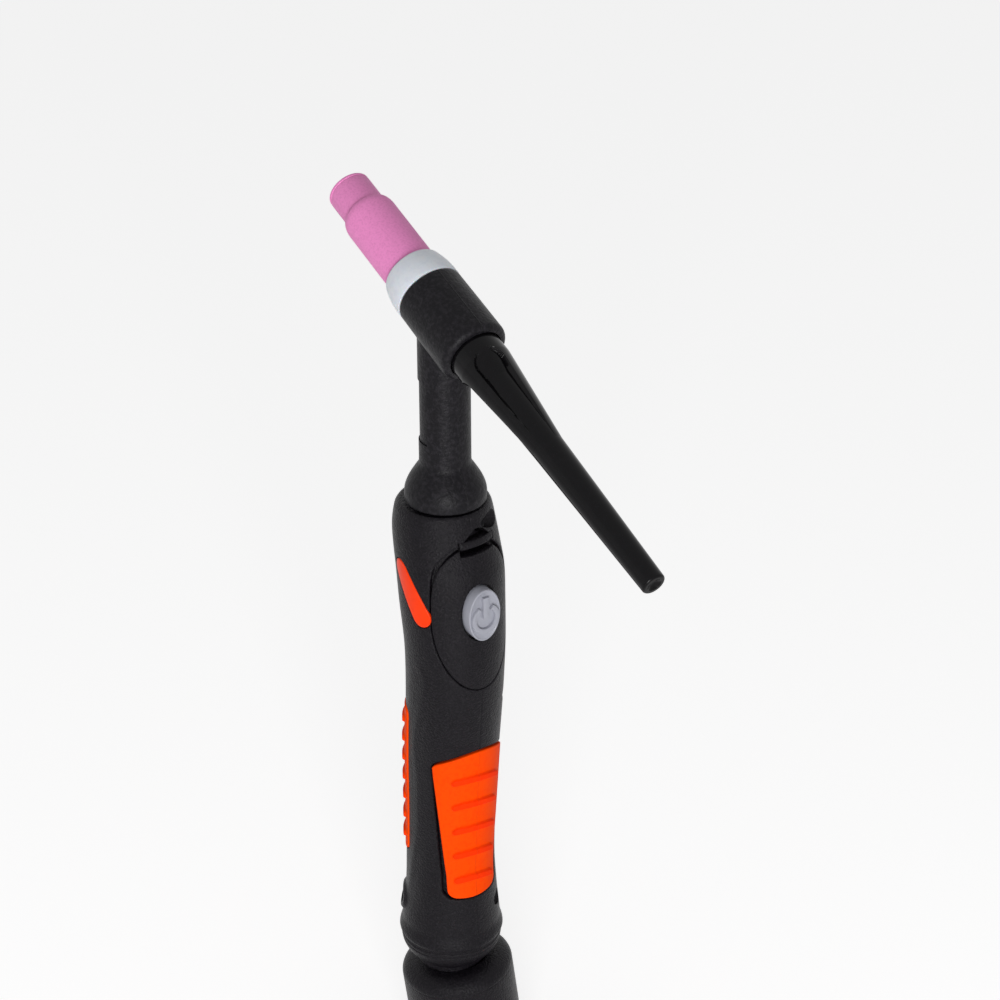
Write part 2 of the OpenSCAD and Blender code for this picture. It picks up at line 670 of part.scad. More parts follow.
button_z = -button_drop;
board_x = web_front + 1.3;
board_face = board_x + board_t;
micro_top = board_face + micro_h;
plunger_top = micro_top + button_travel + 0.2;
nib = plunger_top + fit_gap;
flange_x = nib + 0.55;
flange_t = 0.9;
button_gap = 0.15;
post_r = 2;
posts = [17.6, 48.2];                       // drops of the two posts
module switch_cover() color(plastic) at_rim() {
    difference() {
        cover_slab(0, 0, cover_t);
        oval(button_w / 2 + button_gap, button_h / 2 + button_gap, flange_x, 30, button_z);
    }
    for (d = posts) difference() {
        x_rod(post_r, board_face + fit_gap, skin_c(d) + skin_r(d) - cover_t + 0.3, 0, -d);
        x_rod(0.85, board_face - past, board_face + 5, 0, -d);
    }
}

// Plain on-off mark, raised on the button: a ring that is open at its top, and a bar
mark_r = 5.2;
mark_band = 1.3;
mark_h = 0.4;
mark_drop = 1.2;                            // the ring's middle, below the button's
bar_half = 1;
bar_foot = 0.2;                             // the bar's foot, below the button's middle
bar_rise = 6.8;
bar_gap = 0.9;
module button() {
    edge = 0.6;                             // step round the button's face
    nib_r = 1.5;
    color("#a0a2ac") at_rim() {
        oval(button_w / 2, button_h / 2, flange_x, button_face - mark_h - edge / 2, button_z);
        oval(button_w / 2 - edge, button_h / 2 - edge, button_face - past, button_face - mark_h, button_z);
        oval(button_w / 2 + 0.3, button_h / 2 + 1.2, flange_x, flange_x + flange_t, button_z);
        x_rod(nib_r, nib, flange_x + flange_t, 0, button_z);
        difference() {
            x_rod(mark_r, button_face - past, button_face, 0, button_z - mark_drop);
            x_rod(mark_r - mark_band, button_face - mark_h, button_face + past, 0, button_z - mark_drop);
            block([button_face - mark_h, -bar_half - bar_gap, button_z],
                [button_face + past, bar_half + bar_gap, button_z + mark_r]);
        }
        block([button_face - past, -bar_half, button_z - bar_foot],
            [button_face, bar_half, button_z + bar_rise]);
    }
}

spring_shift = 8.5;
spring_r = 1.3;
wire_r = 0.25;
spring_turns = 6;
module button_springs() {
    sides = 6;
    turn_steps = 10;
    rings = spring_turns * turn_steps;
    from = board_face + fit_gap + wire_r;
    to = flange_x - fit_gap - wire_r;
    points = [for (i = [0:rings]) let(a = i * 360 / turn_steps, x = mix(from, to, i / rings))
        for (j = [0:sides - 1]) let(b = j * 360 / sides, r = spring_r + wire_r * cos(b))
            [x + wire_r * sin(b), r * cos(a), r * sin(a)]];
    faces = concat([[for (j = [0:sides - 1]) j]], [[for (j = [0:sides - 1]) rings * sides + sides - 1 - j]],
        [for (i = [0:rings - 1]) for (j = [0:sides - 1])
            let(a = i * sides + j, b = i * sides + (j + 1) % sides)
            each [[a, a + sides, b], [b, a + sides, b + sides]]]);
    color(steel) at_rim() for (s = [-1, 1])
        translate([0, 0, button_z + s * spring_shift]) polyhedron(points = points, faces = faces);
}

slot_w = 3;
slot_t = 1.4;
slot_depth = 3.5;
plunger_depth = 1.5;                        // how deep the plunger sits in its slot
module microswitch() color("#33343a") at_rim() difference() {
    block([board_face, -micro_w / 2, button_z - micro_len / 2],
        [micro_top, micro_w / 2, button_z + micro_len / 2]);
    block([micro_top - slot_depth, -slot_w / 2, button_z - slot_t / 2],
        [micro_top + past, slot_w / 2, button_z + slot_t / 2]);
}
module switch_plunger() color("#b03a2e") at_rim()
    block([micro_top - plunger_depth, run_gap - slot_w / 2, button_z - slot_t / 2 + run_gap],
        [plunger_top, slot_w / 2 - run_gap, button_z + slot_t / 2 - run_gap]);

board_half = 6;
board_top = plug_len + 1.8;
board_bottom = 50.4;
module switch_board() color("#2f6b3c") at_rim() difference() {
    block([board_x, -board_half, -board_bottom], [board_face, board_half, -board_top]);
    for (d = posts) x_rod(1.1, board_x - past, board_face + past, 0, -d);
}
module board_screws() color(steel) at_rim() for (d = posts) {
    x_rod(0.8, board_x - 0.5, board_face + 4.5, 0, -d);
    x_rod(1.7, board_x - 1, board_x, 0, -d);
}
module switch_terminals() color(brass) at_rim() for (s = [-1, 1])
    block([board_x + 0.4, s * 3.2 - 1.4, -board_bottom - 7.5], [board_x + 1.2, s * 3.2 + 1.4, -board_bottom]);

// ---------------------------------------------------------------- grips and label
grip_top = 87.6;                            // the front grip's top, below the collar's rim
grip_bottom = hold_bottom + 10.6;
grip_top_half = 13;
grip_bottom_half = 9.5;
top_bow = 4.9;
bottom_bow = 4;
corner = 3.5;
rib_half_w = 1.1;
front_rib_top = grip_top + 12.8;
front_rib_pitch = (grip_bottom - 7.4 - front_rib_top) / (front_ribs - 1);
rib_foot = rib_half_w * 1.3;
// Levels of a grip's points: its ends, and five across each rib
function rib_levels(top, bottom, first, pitch, count, ends) = concat(
    [for (e = ends) e / (bottom - top)],
    [for (k = [0:count - 1]) for (o = [-1:0.5:1]) (first + k * pitch + o * rib_foot - top) / (bottom - top)],
    [for (i = [len(ends) - 1:-1:0]) 1 - ends[i] / (bottom - top)]);
corner_levels = [0, 0.5, 1.3, 2.4, corner];
front_levels = rib_levels(grip_top, grip_bottom, front_rib_top, front_rib_pitch, front_ribs, corner_levels);
function front_drop(v) = mix(grip_top, grip_bottom, v);
// Half width of the front grip: tapers down the handle, with rounded corners
function front_half(v) = let(e = min(v, 1 - v) * (grip_bottom - grip_top), k = max(1 - e / corner, 0))
    mix(grip_top_half, grip_bottom_half, v) - corner * (1 - sqrt(1 - k * k));
// Place on the front grip, grown by a margin. Its top edge bows up in the middle, its bottom edge down.
function front_place(u, v, grow) = let(x = (2 * u - 1) * (front_half(v) + grow),
        across = x / mix(grip_top_half, grip_bottom_half, v),
        d = mix(grip_top - grow, grip_bottom + grow, v) + mix(top_bow, -bottom_bow, v) * across * across)
    [d, asin(x / skin_r(d))];
// Rib height at a drop, dying away at the rib's two ends
function rib_at(d, first, pitch, count) =
    let(k = round((d - first) / pitch), off = abs(d - first - k * pitch))
    k < 0 || k >= count ? 0 : 1 - smooth(off / rib_foot);
function front_top(u, v) = front_proud
    + front_rib * rib_at(front_drop(v), front_rib_top, front_rib_pitch, front_ribs)
    * (1 - smooth((abs(2 * u - 1) - 0.6) / 0.15));
module front_grip() color(orange) at_rim()
    slab(front_levels, 12, function(u, v) front_place(u, v, 0), function(u, v) front_top(u, v), -grip_t);
pocket_floor = -grip_t - fit_gap;
clear_up = 3;                               // how far a pocket's cutter stands above the skin
// Levels of the front pocket's points: the grip's rounded ends, and even steps between them
grip_span = grip_bottom - grip_top;
pocket_levels = concat([for (e = corner_levels) e / grip_span],
    [for (t = [1:14]) mix(corner, grip_span - corner, t / 15) / grip_span],
    [for (i = [len(corner_levels) - 1:-1:0]) 1 - corner_levels[i] / grip_span]);
module front_pocket()
    slab(pocket_levels, 12, function(u, v) front_place(u, v, soft_gap), function(u, v) clear_up, pocket_floor);

rear_grip_top = 75.7;
rear_grip_bottom = hold_bottom - 2.6;
rear_edge = 103;                            // the rear grip's edge, from +X towards -Y
rear_rib_top = rear_grip_top + 6.3;
rear_rib_pitch = (rear_grip_bottom - 6 - rear_rib_top) / (rear_ribs - 1);
function rear_place(u, v, grow) = [mix(rear_grip_top - grow, rear_grip_bottom + grow, v),
    mix(rear_edge - grow * 4, 360 - rear_edge + grow * 4, u)];
function rear_top(v) = rear_proud + rear_rib
    * rib_at(mix(rear_grip_top, rear_grip_bottom, v), rear_rib_top, rear_rib_pitch, rear_ribs);
rear_levels = rib_levels(rear_grip_top, rear_grip_bottom, rear_rib_top, rear_rib_pitch, rear_ribs, [0]);
module rear_grip() color(orange) at_rim()
    slab(rear_levels, 14, function(u, v) rear_place(u, v, 0), function(u, v) rear_top(v), -grip_t);
module rear_pocket()
    slab(even(12), 14, function(u, v) rear_place(u, v, soft_gap), function(u, v) clear_up, pocket_floor);

// The label runs down across the skin from a broad end to a round one
label_t = 0.8;
label_from = [19.2, 100];                   // drop and angle of its broad end
label_to = [37.6, 64];
label_len = 22;
label_halves = [2.9, 2.1];                  // half widths at its two ends
label_round = 2.2;
across_label = [0.53, 2.9];                 // drop and angle for one millimetre across
along_label = [0.8, -1.8];                  // drop and angle for one millimetre along
function label_place(u, v, grow) = let(
        k = max(1 - min(v, 1 - v) * label_len / label_round, 0),
        w = (mix(label_halves[0], label_halves[1], v) + grow) * sqrt(1 - 0.96 * k * k))
    mix(label_from, label_to, v) + (2 * u - 1) * w * across_label
    + (v < 0.5 ? -grow : grow) * k * along_label;
module label_plate() color("#ff3d00") at_rim()
    slab(even(16), 4, function(u, v) label_place(u, v, 0), function(u, v) 0.15, -label_t);
module label_pocket()
    slab(even(16), 4, function(u, v) label_place(u, v, soft_gap), function(u, v) clear_up,
        -label_t - fit_gap);

// ---------------------------------------------------------------- ball joint and cuff
module ball_seat() color("#6f7076") at_rim() translate([0, 0, ball_z]) difference() {
    rod(seat_r, 0.2, seat_h);
    sphere(r = ball_r + run_gap);
}

spigot_r = spigot_d / 2;
dish_r = norm([mouth_below, mouth_outer]) + 0.4;    // hollow of the cuff's top, clear of the handle's mouth
hub_bottom = cuff_reach - inlet_len - clip_room;    // below the ball's middle
spigot_end = hub_bottom + clip_room - 0.5;
clip_t = 1.3;
clip_top = hub_bottom + 0.15;
clip_floor = spigot_r - 0.8;
module swivel_ball() color("#5d5e64") at_ball() difference() {
    union() {
        intersection() {
            sphere(r = ball_r);
            rod(ball_r, -ball_r, 9);
        }
        rod(spigot_r, -spigot_end, 0);
    }
    rod(ball_bore / 2, -spigot_end - past, ball_r);
    difference() {
        rod(spigot_r + past, -clip_top - clip_t - 0.1, -clip_top + 0.1);
        rod(clip_floor, -spigot_end - past, 0);
    }
}
module cuff_clip() color(steel) at_ball() difference() {
    rod(spigot_r + 2.4, -clip_top - clip_t, -clip_top);
    rod(clip_floor + fit_gap, -clip_top - clip_t - past, past);
    block([0, -2.5, -clip_top - clip_t - past], [spigot_r + 4, 2.5, past]);
}

module cable_cuff() {
    cuff_r = cuff_d / 2;
    lip_r = 12.5;
    lip_drop = sqrt(dish_r * dish_r - lip_r * lip_r) + 0.1;
    dome_h = 5.2;
    color(plastic) at_ball() difference() {
        rotate_extrude() polygon(concat([[0, -lip_drop]],
            [for (i = [0:10]) [mix(lip_r, cuff_r, sin(i * 9)), -lip_drop - dome_h * (1 - cos(i * 9))]],
            [[cuff_r, 1 - cuff_reach], [cuff_r - 1, -cuff_reach], [0, -cuff_reach]]));
        sphere(r = dish_r);
        rod(spigot_r + run_gap, -cuff_reach, 0);
        rod(spigot_r + 3.4, -hub_bottom - clip_room - past, -hub_bottom);
        rod(inlet_d / 2, -cuff_reach - past, -hub_bottom - clip_room);
    }
}

nozzle();
cup_gasket();
head_cover();
head_core();
neck_tube();
power_union();
collet_body();
collet();
electrode();
back_cap();
cap_o_ring();
handle_shell_left();
handle_shell_right();
handle_screws();
switch_cover();
button();
button_springs();
microswitch();
switch_plunger();
switch_board();
switch_terminals();
board_screws();
label_plate();
front_grip();
rear_grip();
ball_seat();
swivel_ball();
cuff_clip();
cable_cuff();
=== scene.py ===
"""Dresses the TIG torch's frame: fine meshes, moulded finishes, a plain stage and a camera."""
import math

import bmesh
import bpy
import numpy as np
from mathutils import Matrix, Vector


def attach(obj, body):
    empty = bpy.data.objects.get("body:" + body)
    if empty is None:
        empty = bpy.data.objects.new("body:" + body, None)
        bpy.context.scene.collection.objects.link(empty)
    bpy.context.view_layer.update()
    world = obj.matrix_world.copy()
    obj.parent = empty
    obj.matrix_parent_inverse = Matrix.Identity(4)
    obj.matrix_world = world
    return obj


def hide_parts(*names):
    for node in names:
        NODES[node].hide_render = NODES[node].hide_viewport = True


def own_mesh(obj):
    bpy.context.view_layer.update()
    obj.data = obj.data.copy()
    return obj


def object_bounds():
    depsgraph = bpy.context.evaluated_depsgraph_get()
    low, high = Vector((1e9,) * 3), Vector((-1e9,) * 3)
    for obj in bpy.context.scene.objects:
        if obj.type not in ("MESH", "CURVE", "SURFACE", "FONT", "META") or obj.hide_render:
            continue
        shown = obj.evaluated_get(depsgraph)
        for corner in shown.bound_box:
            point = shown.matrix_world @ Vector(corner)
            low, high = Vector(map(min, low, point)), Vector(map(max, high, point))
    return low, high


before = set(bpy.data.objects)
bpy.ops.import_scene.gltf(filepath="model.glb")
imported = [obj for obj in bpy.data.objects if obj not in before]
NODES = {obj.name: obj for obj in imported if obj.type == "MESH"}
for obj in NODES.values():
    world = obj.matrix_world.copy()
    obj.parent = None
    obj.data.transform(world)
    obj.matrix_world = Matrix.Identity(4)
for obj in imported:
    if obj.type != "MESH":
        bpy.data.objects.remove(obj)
CAD_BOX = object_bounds()

bl_info = {
    "name": "TIG Torch",
    "version": (1, 0, 0),
    "blender": (4, 5, 0),
    "location": "3D View > Sidebar > Torch",
    "description": "Builds the dressed model of a gas-cooled TIG torch",
    "category": "Object",
}

# Lengths are in millimetres until they go into a mesh. Heights are measured from the collar's rim,
# and a drop is a distance below it.
MM = 0.001
RIM_Z = -30.0
HEAD_Z = 35.1
HEAD_ANGLE = 68.0
BALL_DROP = 172.0
BALL_TURN, BALL_TILT = 56, -7       # how the cuff stands at rest


def turned(degrees, axis):
    """A turn about an axis."""
    return Matrix.Rotation(math.radians(degrees), 4, axis)


RIM_PLACE = Matrix.Translation((0, 0, RIM_Z * MM))
HEAD_PLACE = Matrix.Translation((0, 0, HEAD_Z * MM)) @ turned(-HEAD_ANGLE, "Y")
BALL_PLACE = (Matrix.Translation((0, 0, (RIM_Z - BALL_DROP) * MM))
              @ turned(BALL_TURN, "Z") @ turned(BALL_TILT, "Y"))


def linear(code):
    """A linear colour from an sRGB hex code."""
    parts = [int(code[i:i + 2], 16) / 255 for i in (1, 3, 5)]
    return tuple(c / 12.92 if c <= 0.04045 else ((c + 0.055) / 1.055) ** 2.4 for c in parts) + (1.0,)


def colour_property(name, description, code):
    """A colour that a user may change."""
    return bpy.props.FloatVectorProperty(
        name=name, description=description, subtype="COLOR", size=4, min=0, max=1, default=linear(code))


def length_property(name, description, millimetres):
    """A length that a user may change, held in metres."""
    return bpy.props.FloatProperty(
        name=name, description=description, subtype="DISTANCE", unit="LENGTH", min=0,
        default=millimetres * MM)


def count_property(name, description, count, **limits):
    """A number of equal forms that a user may change."""
    return bpy.props.IntProperty(name=name, description=description, min=1, default=count, **limits)


def number_property(name, description, unit, least, value):
    """A setting of the camera or a lamp that a user may change."""
    return bpy.props.FloatProperty(name=name, description=description, unit=unit, min=least, default=value)


class TorchColours(bpy.types.PropertyGroup):
    """Colours of the torch's materials."""
    handle: colour_property("Handle", "Moulded nylon of the handle and cuff", "#0F0D11")
    rubber: colour_property("Head rubber", "Rubber over the head and neck", "#141316")
    cap: colour_property("Back cap", "Phenolic back cap", "#0B0A0C")
    ceramic: colour_property("Nozzle", "Fired pink alumina", "#F693CF")
    gasket: colour_property("Gasket", "White heat-proof ring", "#E4E9F0")
    grip: colour_property("Grips", "Soft orange grips", "#FF4B00")
    label: colour_property("Label", "Orange label", "#FF3D00")
    button: colour_property("Button", "Grey button", "#9B9CA6")


class TorchSizes(bpy.types.PropertyGroup):
    """Sizes of the torch's finer forms."""
    nozzle_diameter: length_property("Nozzle diameter", "Diameter of the nozzle's body", 17.74)
    nozzle_tip: length_property("Nozzle tip", "Diameter of the nozzle's tip", 14.6)
    nozzle_tip_length: length_property("Tip length", "Length of the nozzle's tip", 11.6)
    fins: count_property("Fins", "Number of fins on the back cap", 3, max=6)
    groove_radius: length_property("Groove radius", "Radius of the grooves in the back cap", 5.8)
    seam_depth: length_property("Seam depth", "Depth of the handle's split line", 0.12)
    front_rib_height: length_property("Front rib height", "Height of the front grip's ribs", 0.95)
    rear_rib_height: length_property("Rear rib height", "Height of the rear grip's ribs", 0.8)
    front_ribs: count_property("Front ribs", "Ribs on the front grip", 5)
    rear_ribs: count_property("Rear ribs", "Ribs on the rear grip", 7)


class TorchStage(bpy.types.PropertyGroup):
    """Floor, light and camera."""
    floor: colour_property("Floor", "Colour of the floor", "#F2F2F2")
    key_power: number_property("Key light", "Power of the large soft lamp", "POWER", 0, 9.5)
    fill_power: number_property("Fill light", "Power of the soft lamp on the other side", "POWER", 0, 0.35)
    lens: number_property("Lens", "Focal length on a 36 mm sensor", "CAMERA", 1, 97.24)


# ---- materials
def add(tree, kind, inputs=(), **settings):
    """Adds a node, sets it up, and sets or links its inputs. A node as an input means its first output."""
    node = tree.nodes.new(kind)
    for key, value in settings.items():
        setattr(node, key, value)
    for key, value in (inputs if isinstance(inputs, dict) else dict(enumerate(inputs))).items():
        if isinstance(value, bpy.types.Node):
            value = value.outputs[0]
        if isinstance(value, bpy.types.NodeSocket):
            tree.links.new(value, node.inputs[key])
        else:
            node.inputs[key].default_value = value
    return node


def surface(slot, name, colour, roughness, bumps, tint, spread, turn=0.0, painted_shade=None, stretch=(1, 1, 1),
            **sockets):
    """Makes a slot's material, with fine relief, a mottled second colour and an uneven gloss.

    bumps are (texture, size in mm, depth in mm), and stretch makes their pattern finer along an axis.
    tint is (colour, size in mm, share). spread is how far the roughness wanders. turn lines a pattern up
    with the head, by degrees about Y. painted_shade is (attribute, colour, share), a darker colour that a
    mesh attribute brings in as painted shade."""
    material = bpy.data.materials.new(name)
    material.use_nodes = True
    tree = material.node_tree
    shader = tree.nodes["Principled BSDF"]
    colour = linear(colour) if isinstance(colour, str) else tuple(colour)
    shader.inputs["Base Color"].default_value = colour
    shader.inputs["Roughness"].default_value = roughness
    for key, value in sockets.items():
        shader.inputs[key.replace("_", " ")].default_value = value
    place = add(tree, "ShaderNodeTexCoord").outputs["Object"]
    if turn:
        place = add(tree, "ShaderNodeMapping", {"Vector": place, "Rotation": (0, math.radians(turn), 0)})
    spot = add(tree, "ShaderNodeVectorMath", [place, stretch], operation="MULTIPLY")
    height = 0.0
    for kind, size, depth in bumps:
        if kind == "grain":
            value = add(tree, "ShaderNodeTexNoise",
                        {"Vector": spot, "Scale": 1 / (size * MM), "Detail": 2.0, "Roughness": 0.6})
        elif kind == "seam":
            across = add(tree, "ShaderNodeSeparateXYZ", [spot]).outputs["Y"]
            off = add(tree, "ShaderNodeMath", [across], operation="ABSOLUTE")
            value = add(tree, "ShaderNodeMapRange",
                        {"Value": off, "From Max": size * MM, "To Min": 1.0, "To Max": 0.0},
                        interpolation_type="SMOOTHSTEP")
        else:
            value = add(tree, "ShaderNodeTexWave",
                        {"Vector": spot, "Scale": WAVE_SCALE / (size * MM), "Distortion": 1.5, "Detail": 2.0},
                        bands_direction="Z").outputs["Fac"]
        height = add(tree, "ShaderNodeMath", [value, depth, height], operation="MULTIPLY_ADD")
    normal = add(tree, "ShaderNodeBump", {"Height": height, "Distance": MM})
    other, size, share = tint
    mottle = add(tree, "ShaderNodeTexNoise",
                 {"Vector": place, "Scale": 1 / (size * MM), "Detail": 3.0, "Roughness": 0.65})
    part = add(tree, "ShaderNodeMapRange",
               {"Value": mottle, "From Min": 0.42, "From Max": 0.68, "To Max": share},
               interpolation_type="SMOOTHSTEP")
    base = add(tree, "ShaderNodeMix", {0: part, 6: colour, 7: linear(other)}, data_type="RGBA").outputs[2]
    # A mesh attribute brings in a darker colour here: painted shade.
    if painted_shade:
        label, shade_colour, share = painted_shade
        mark = add(tree, "ShaderNodeAttribute", attribute_name=label).outputs["Fac"]
        part = add(tree, "ShaderNodeMath", [mark, share], operation="MULTIPLY")
        base = add(tree, "ShaderNodeMix", {0: part, 6: base, 7: linear(shade_colour)}, data_type="RGBA").outputs[2]
    patches = add(tree, "ShaderNodeTexNoise", {"Vector": place, "Scale": 1 / GLOSS_PATCH, "Detail": 3.0})
    gloss = add(tree, "ShaderNodeMath", [patches, spread, roughness - spread / 2], operation="MULTIPLY_ADD")
    tree.links.new(base, shader.inputs["Base Color"])
    tree.links.new(gloss.outputs[0], shader.inputs["Roughness"])
    tree.links.new(normal.outputs[0], shader.inputs["Normal"])
    MATERIALS[slot] = material


MATERIALS = {}
WAVE_SCALE = 0.314      # bands of a wave texture lie 0.314 / scale apart
GLOSS_PATCH = 2.5 * MM


def make_materials():
    """Every finish, from what the real part is made of."""
    colours = bpy.context.scene.torch_colours
    # Glass-filled nylon from a spark-eroded mould: near black, satin, with a fine sandy grain.
    # The real grain is about 0.1 mm; it is drawn at 0.7 mm so that it shows.
    surface("handle_plastic", "moulded_nylon", colours.handle, 0.36,
            [("grain", 0.7, 0.4), ("grain", 3.0, 0.05)],
            ("#1E1B20", 0.7, 0.8), 0.16, Specular_IOR_Level=0.5, IOR=1.2)
    # Compression-moulded rubber: black with a bloom, softly mottled where it is handled
    surface("head_rubber", "moulded_rubber", colours.rubber, 0.4,
            [("grain", 0.9, 0.18), ("grain", 2.2, 0.08), ("seam", 0.3, 0.25)],
            ("#272529", 1.4, 0.8), 0.2, Specular_IOR_Level=0.1)
    # Phenolic resin, polished: almost black with a hard shine and faint flow marks
    surface("phenolic", "polished_phenolic", colours.cap, 0.14, [("grain", 4.0, 0.015)],
            ("#131114", 2.0, 0.4), 0.08, HEAD_ANGLE, Specular_IOR_Level=0.11)
    # Pressed and fired alumina, pink from chrome: matte, with fine turning rings round it.
    # The real rings are about 0.1 mm apart; they are drawn 0.5 mm apart so that they show.
    surface("alumina", "fired_alumina", colours.ceramic, 0.62,
            [("rings", 0.5, 0.012), ("grain", 0.5, 0.02)], ("#E07DB8", 0.7, 0.55), 0.12, HEAD_ANGLE)
    # Turned white fluoropolymer: waxy, with faint tool rings and a little light inside
    surface("ptfe", "turned_fluoropolymer", colours.gasket, 0.36, [("rings", 0.45, 0.006)],
            ("#D3DBE6", 2.0, 0.4), 0.1, HEAD_ANGLE, Subsurface_Weight=0.15, Subsurface_Scale=0.002)
    # Soft thermoplastic rubber moulded over the handle: matte, with a dusty fine grain. Its raised ribs are
    # painted a darker red than the flat of the grip: painted shade on the ribs.
    surface("grip", "soft_grip_rubber", colours.grip, 0.55, [("grain", 0.5, 0.03), ("seam", 0.2, 0.12)],
            ("#FF3E00", 1.6, 0.5), 0.12, painted_shade=("rib", "#FF1E00", 0.55), Specular_IOR_Level=0.05)
    # Domed polyester label: smooth and slightly glossy
    surface("label", "domed_label", colours.label, 0.3, [("grain", 1.5, 0.01)], ("#F53400", 2.5, 0.4), 0.08,
            Specular_IOR_Level=0.15)
    # Button in moulded grey ABS: satin, with a fine grain
    surface("button_plastic", "moulded_abs", colours.button, 0.42, [("grain", 0.4, 0.02)],
            ("#989AA4", 1.2, 0.5), 0.12)
    # Zinc-plated steel screws: bright, slightly clouded
    surface("steel", "plated_steel", "#A9ABB0", 0.3, [("grain", 0.3, 0.01)], ("#8E9096", 0.8, 0.5), 0.15,
            Metallic=1.0)
    # Blackened steel of the handle's screws: dark and slightly oily
    surface("dark_steel", "blackened_steel", "#151517", 0.42, [("grain", 0.3, 0.01)], ("#0F0F11", 0.8, 0.5),
            0.15, Metallic=1.0)
    # Machined brass: warm, with fine turning marks
    surface("brass", "machined_brass", "#B99A55", 0.32, [("rings", 0.4, 0.008)], ("#9C7F42", 2.0, 0.5), 0.15,
            Metallic=1.0)
    # Drawn copper, lightly browned by heat
    surface("copper", "drawn_copper", "#B87552", 0.34, [("rings", 0.4, 0.006)], ("#93583B", 2.0, 0.6), 0.15,
            Metallic=1.0)
    # Ground tungsten rod: grey, with a lengthwise brushed finish
    surface("tungsten", "ground_tungsten", "#8F9094", 0.36, [("grain", 0.25, 0.01)],
            ("#7B7C81", 1.0, 0.5), 0.12, HEAD_ANGLE, stretch=(8, 8, 1), Metallic=1.0)
    # Nitrile sealing ring: black and lightly oiled
    surface("seal_rubber", "oiled_nitrile", "#19191B", 0.35, [("grain", 0.5, 0.01)],
            ("#242428", 1.0, 0.5), 0.1)
    # Switch body in glass-filled polyester: dark grey with a dry surface
    surface("switch_body", "moulded_polyester", "#33343A", 0.55, [("grain", 0.3, 0.02)],
            ("#3D3E45", 0.8, 0.5), 0.1)
    # Plunger in red acetal: smooth and waxy
    surface("plunger_plastic", "red_acetal", "#B03A2E", 0.35, [("grain", 0.4, 0.01)],
            ("#9C3228", 0.8, 0.4), 0.1)
    # Circuit board with solder mask: green, glossy, with a faint glass weave
    surface("board", "solder_mask", "#2F6B3C", 0.3, [("rings", 0.5, 0.01)], ("#285C33", 1.2, 0.5), 0.1)
    # Acetal swivel: smooth dark grey, polished where it rubs
    surface("joint_plastic", "dark_acetal", "#5A5B61", 0.33, [("grain", 0.8, 0.008)],
            ("#515258", 2.0, 0.5), 0.12)


# ---- meshes
def new_object(name, points, faces, place=RIM_PLACE):
    """A linked object from points in millimetres and faces, moved to its place in the model."""
    mesh = bpy.data.meshes.new(name)
    mesh.from_pydata((np.asarray(points, float) * MM).tolist(), [], faces)
    mesh.transform(place)
    mesh.update()
    obj = bpy.data.objects.new(name, mesh)
    bpy.context.scene.collection.objects.link(obj)
    return obj


def bake(obj):
    """The object's modifiers turned into a plain mesh, and removed."""
    graph = bpy.context.evaluated_depsgraph_get()
    mesh = bpy.data.meshes.new_from_object(obj.evaluated_get(graph))
    obj.modifiers.clear()
    obj.data = mesh


def smooth_out(obj, sharp=32):
    """Doubles merged, normals outward, smooth shading with sharp edges kept."""
    shape = bmesh.new()
    shape.from_mesh(obj.data)
    bmesh.ops.remove_doubles(shape, verts=shape.verts, dist=0.002 * MM)
    bmesh.ops.recalc_face_normals(shape, faces=shape.faces)
    shape.to_mesh(obj.data)
    shape.free()
    obj.data.shade_smooth()
    obj.data.set_sharp_from_angle(angle=math.radians(sharp))


def combine(body, others, operation):
    """Joins other closed meshes to the body, or cuts them from it."""
    for other in others:
        modifier = body.modifiers.new(other.name, "BOOLEAN")
        modifier.operation = operation
        modifier.solver = "MANIFOLD"
        modifier.object = other
    bake(body)
    for other in others:
        bpy.data.objects.remove(other)


def dress(obj, slot, body, node, finish=None):
    """Gives a finished piece its material and its body, and hides the CAD node it stands for."""
    obj.data.materials.clear()
    obj.data.materials.append(MATERIALS[finish or slot])
    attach(obj, body)
    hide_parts(node)


def paint(finishes):
    """Gives CAD nodes that stay their own finishes."""
    for node, finish in finishes.items():
        for slot in NODES[node].material_slots:
            slot.material = MATERIALS[finish]


def blend01(t):
    """A smooth step from 0 to 1."""
    t = np.clip(t, 0, 1)
    return t * t * (3 - 2 * t)


def grid_faces(rows, columns, closed=False):
    """Quads of a grid of points, row by row."""
    last = columns if closed else columns - 1
    return [(i * columns + j, i * columns + (j + 1) % columns,
             (i + 1) * columns + (j + 1) % columns, (i + 1) * columns + j)
            for i in range(rows - 1) for j in range(last)]


def stack(name, rings, place=RIM_PLACE):
    """A closed solid through equal rings of points, capped at both ends."""
    rows, columns = len(rings), len(rings[0])
    faces = grid_faces(rows, columns, True)
    faces += [tuple(reversed(range(columns))), tuple((rows - 1) * columns + j for j in range(columns))]
    obj = new_object(name, np.concatenate(rings), faces, place)
    smooth_out(obj)
    return obj


def prism(name, outline, low, high, place=RIM_PLACE):
    """An upright block between two heights."""
    return stack(name, [[(x, y, z) for x, y in outline] for z in (low, high)], place)


def round_edge(x, y, radius, first, last, count=6):
    """Points of an arc, for a profile. Angles are in degrees."""
    angles = np.radians(np.linspace(first, last, count + 1))
    return [(x + radius * math.cos(a), y + radius * math.sin(a)) for a in angles]


# ---- Geometry Nodes
def new_tree(name, sockets):
    """A Geometry Nodes tree, its input sockets by name, and its output node."""
    tree = bpy.data.node_groups.new(name, "GeometryNodeTree")
    tree.interface.new_socket("Geometry", in_out="OUTPUT", socket_type="NodeSocketGeometry")
    for label, kind in sockets.items():
        tree.interface.new_socket(label, in_out="INPUT", socket_type="NodeSocket" + kind)
    source, out = tree.nodes.new("NodeGroupInput"), tree.nodes.new("NodeGroupOutput")
    return tree, {label: source.outputs[label] for label in sockets}, out


